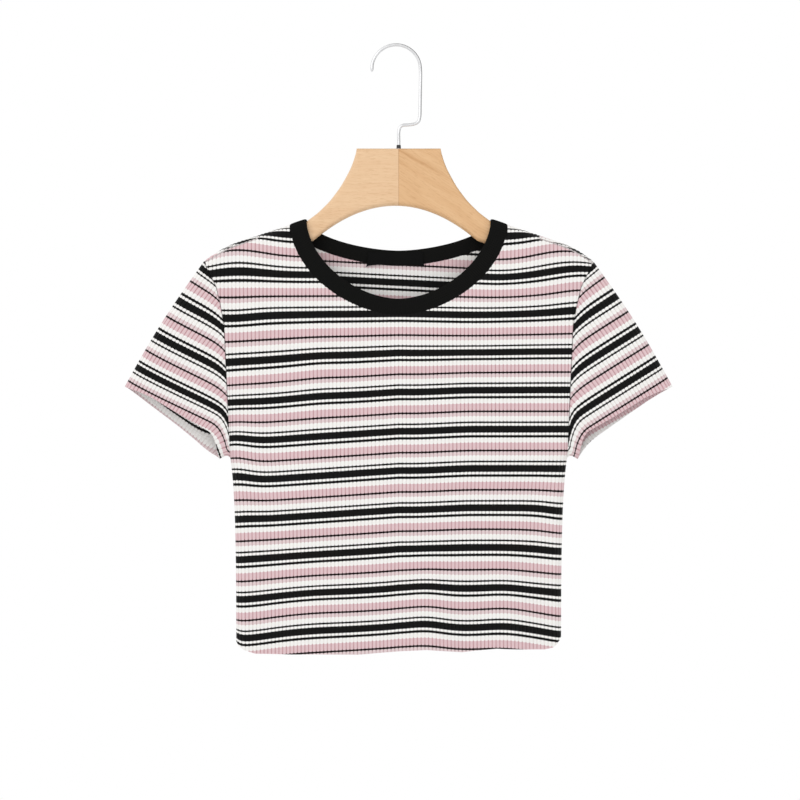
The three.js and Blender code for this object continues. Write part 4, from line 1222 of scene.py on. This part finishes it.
class CROPTOP_OT_label(bpy.types.Operator):
    """Build the bare label inside the neck"""

    bl_idname = "croptop.label"
    bl_label = "Neck Label"

    def execute(self, context):
        """Makes the strip and its weave."""
        weave = material_once("label", label_material, context.scene.crop_top_knit)
        finish_piece(label_object("bare_label"), weave, "label", "neck_label")
        return {"FINISHED"}


class CROPTOP_OT_hanger(bpy.types.Operator):
    """Build both arms of the wooden hanger"""

    bl_idname = "croptop.hanger"
    bl_label = "Hanger"

    def execute(self, context):
        """Makes both arms, each with its own beech colour; the right arm's darker colour is partly its own
        tone and partly painted shade.
        """
        wood = context.scene.crop_top_hanger
        arms = (
            (-1, "left", "beech_pale", wood.pale, wood.pale_dark, GRAIN["left_turn"], None),
            (1, "right", "beech_warm", wood.shaded_warm, wood.shaded_warm_dark, GRAIN["right_turn"], VEIN),
        )
        for side, word, look, *grain in arms:
            beech = material_once(look, wood_material, look, *grain)
            finish_piece(hanger_object("hanger_" + word, side), beech, look, "hanger_arm_" + word)
        return {"FINISHED"}


class CROPTOP_OT_hook(bpy.types.Operator):
    """Build the wire hook and its ferrule"""

    bl_idname = "croptop.hook"
    bl_label = "Hook"

    def execute(self, context):
        """Makes the bent wire and the small sleeve at its foot."""
        metal = context.scene.crop_top_hanger
        bright = material_once("chrome", metal_material, metal)
        finish_piece(hook_object("wire_hook"), bright, "chrome", "hook")
        dark = material_once("ferrule", ferrule_material, metal)
        finish_piece(ferrule_object("collar"), dark, "ferrule", "hook_ferrule")
        return {"FINISHED"}


def add_floor(studio, scene):
    """A round pale floor."""
    angles = np.linspace(0, 2 * math.pi, STUDIO["floor_corners"], endpoint=False)
    rim = np.stack([np.cos(angles), np.sin(angles), 0 * angles], -1) * studio.floor_radius
    mesh = bpy.data.meshes.new("floor")
    mesh.from_pydata((rim + [0, 0, studio.floor_level]).tolist(), [], [list(range(len(angles)))])
    mesh.materials.append(Graph("studio_floor", rough=0.9).colour(STUDIO["floor_shade"]))
    floor = bpy.data.objects.new("floor", mesh)
    scene.collection.objects.link(floor)


def add_key_lamp(studio, scene):
    """A soft lamp at the upper left, in front."""
    lamp = bpy.data.lights.new("key", "AREA")
    lamp.energy = studio.key
    lamp.size = STUDIO["lamp_size"]
    key = bpy.data.objects.new("key", lamp)
    key.location = STUDIO["lamp_place"]
    aim = Vector((0, 0, studio.height)) - key.location
    key.rotation_euler = aim.to_track_quat("-Z", "Y").to_euler()
    scene.collection.objects.link(key)


def add_sky(studio, scene):
    """Even white light from all round, with a dark card that only shiny surfaces mirror."""
    world = bpy.data.worlds.new("studio")
    world.use_nodes = True
    nodes, links = world.node_tree.nodes, world.node_tree.links
    card = nodes.new("ShaderNodeVectorMath")
    card.operation = "DOT_PRODUCT"
    links.new(nodes.new("ShaderNodeTexCoord").outputs["Generated"], card.inputs[0])
    card.inputs[1].default_value = Vector(CARD["towards"]).normalized()
    falling = nodes.new("ShaderNodeMapRange")
    falling.interpolation_type = "SMOOTHSTEP"
    links.new(card.outputs["Value"], falling.inputs["Value"])
    for socket, value in zip(("From Min", "From Max", "To Min", "To Max"), CARD["range"]):
        falling.inputs[socket].default_value = value
    seen = nodes.new("ShaderNodeMix")
    links.new(nodes.new("ShaderNodeLightPath").outputs["Is Glossy Ray"], seen.inputs["Factor"])
    seen.inputs["A"].default_value = studio.sky
    links.new(falling.outputs["Result"], seen.inputs["B"])
    nodes["Background"].inputs[0].default_value = (*WHITE, 1)
    links.new(seen.outputs["Result"], nodes["Background"].inputs[1])
    scene.world = world


def add_camera(studio, scene):
    """The camera straight in front of the top."""
    lens = bpy.data.cameras.new("camera")
    lens.lens = studio.lens
    lens.sensor_width = STUDIO["film_width"]
    lens.clip_end = STUDIO["far_limit"]
    camera = bpy.data.objects.new("camera", lens)
    camera.location = (studio.aside, -studio.distance, studio.height)
    camera.rotation_euler = (QUARTER, 0, 0)
    scene.collection.objects.link(camera)
    scene.camera = camera


class CROPTOP_OT_studio(bpy.types.Operator):
    """Set up the floor, the light and the camera"""

    bl_idname = "croptop.studio"
    bl_label = "Studio"

    def execute(self, context):
        """Adds each part of the stage in turn."""
        for add in (add_floor, add_key_lamp, add_sky, add_camera):
            add(context.scene.crop_top_studio, context.scene)
        context.scene.view_settings.view_transform = "Standard"
        return {"FINISHED"}


OPERATORS = (
    CROPTOP_OT_studio,
    CROPTOP_OT_hanger,
    CROPTOP_OT_hook,
    CROPTOP_OT_panels,
    CROPTOP_OT_sleeves,
    CROPTOP_OT_neckband,
    CROPTOP_OT_label,
)


class CROPTOP_PT_sidebar(bpy.types.Panel):
    """Lists the pieces of the crop top"""

    bl_idname = "CROPTOP_PT_sidebar"
    bl_label = "Crop Top"
    bl_space_type = "VIEW_3D"
    bl_region_type = "UI"
    bl_category = "Crop Top"

    def draw(self, context):
        """Shows a button for each operator, then the settings."""
        for operator in OPERATORS:
            self.layout.operator(operator.bl_idname)
        for name in SETTINGS:
            group = getattr(context.scene, name)
            box = self.layout.box()
            for key in group.__annotations__:
                box.prop(group, key)


SETTINGS = {
    "crop_top_knit": CropTopKnit,
    "crop_top_hanger": CropTopHanger,
    "crop_top_studio": CropTopStudio,
}
CLASSES = (*SETTINGS.values(), *OPERATORS, CROPTOP_PT_sidebar)


def register():
    """Makes the classes and their settings known to Blender."""
    for cls in CLASSES:
        bpy.utils.register_class(cls)
    for name, cls in SETTINGS.items():
        setattr(bpy.types.Scene, name, bpy.props.PointerProperty(type=cls))


def unregister():
    """Takes the settings and the classes away again."""
    for name in SETTINGS:
        delattr(bpy.types.Scene, name)
    for cls in reversed(CLASSES):
        bpy.utils.unregister_class(cls)


def main():
    """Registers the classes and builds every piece."""
    register()
    for operator in OPERATORS:
        group, name = operator.bl_idname.split(".")
        getattr(getattr(bpy.ops, group), name)()
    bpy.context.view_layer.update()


if __name__ == "__main__":
    main()
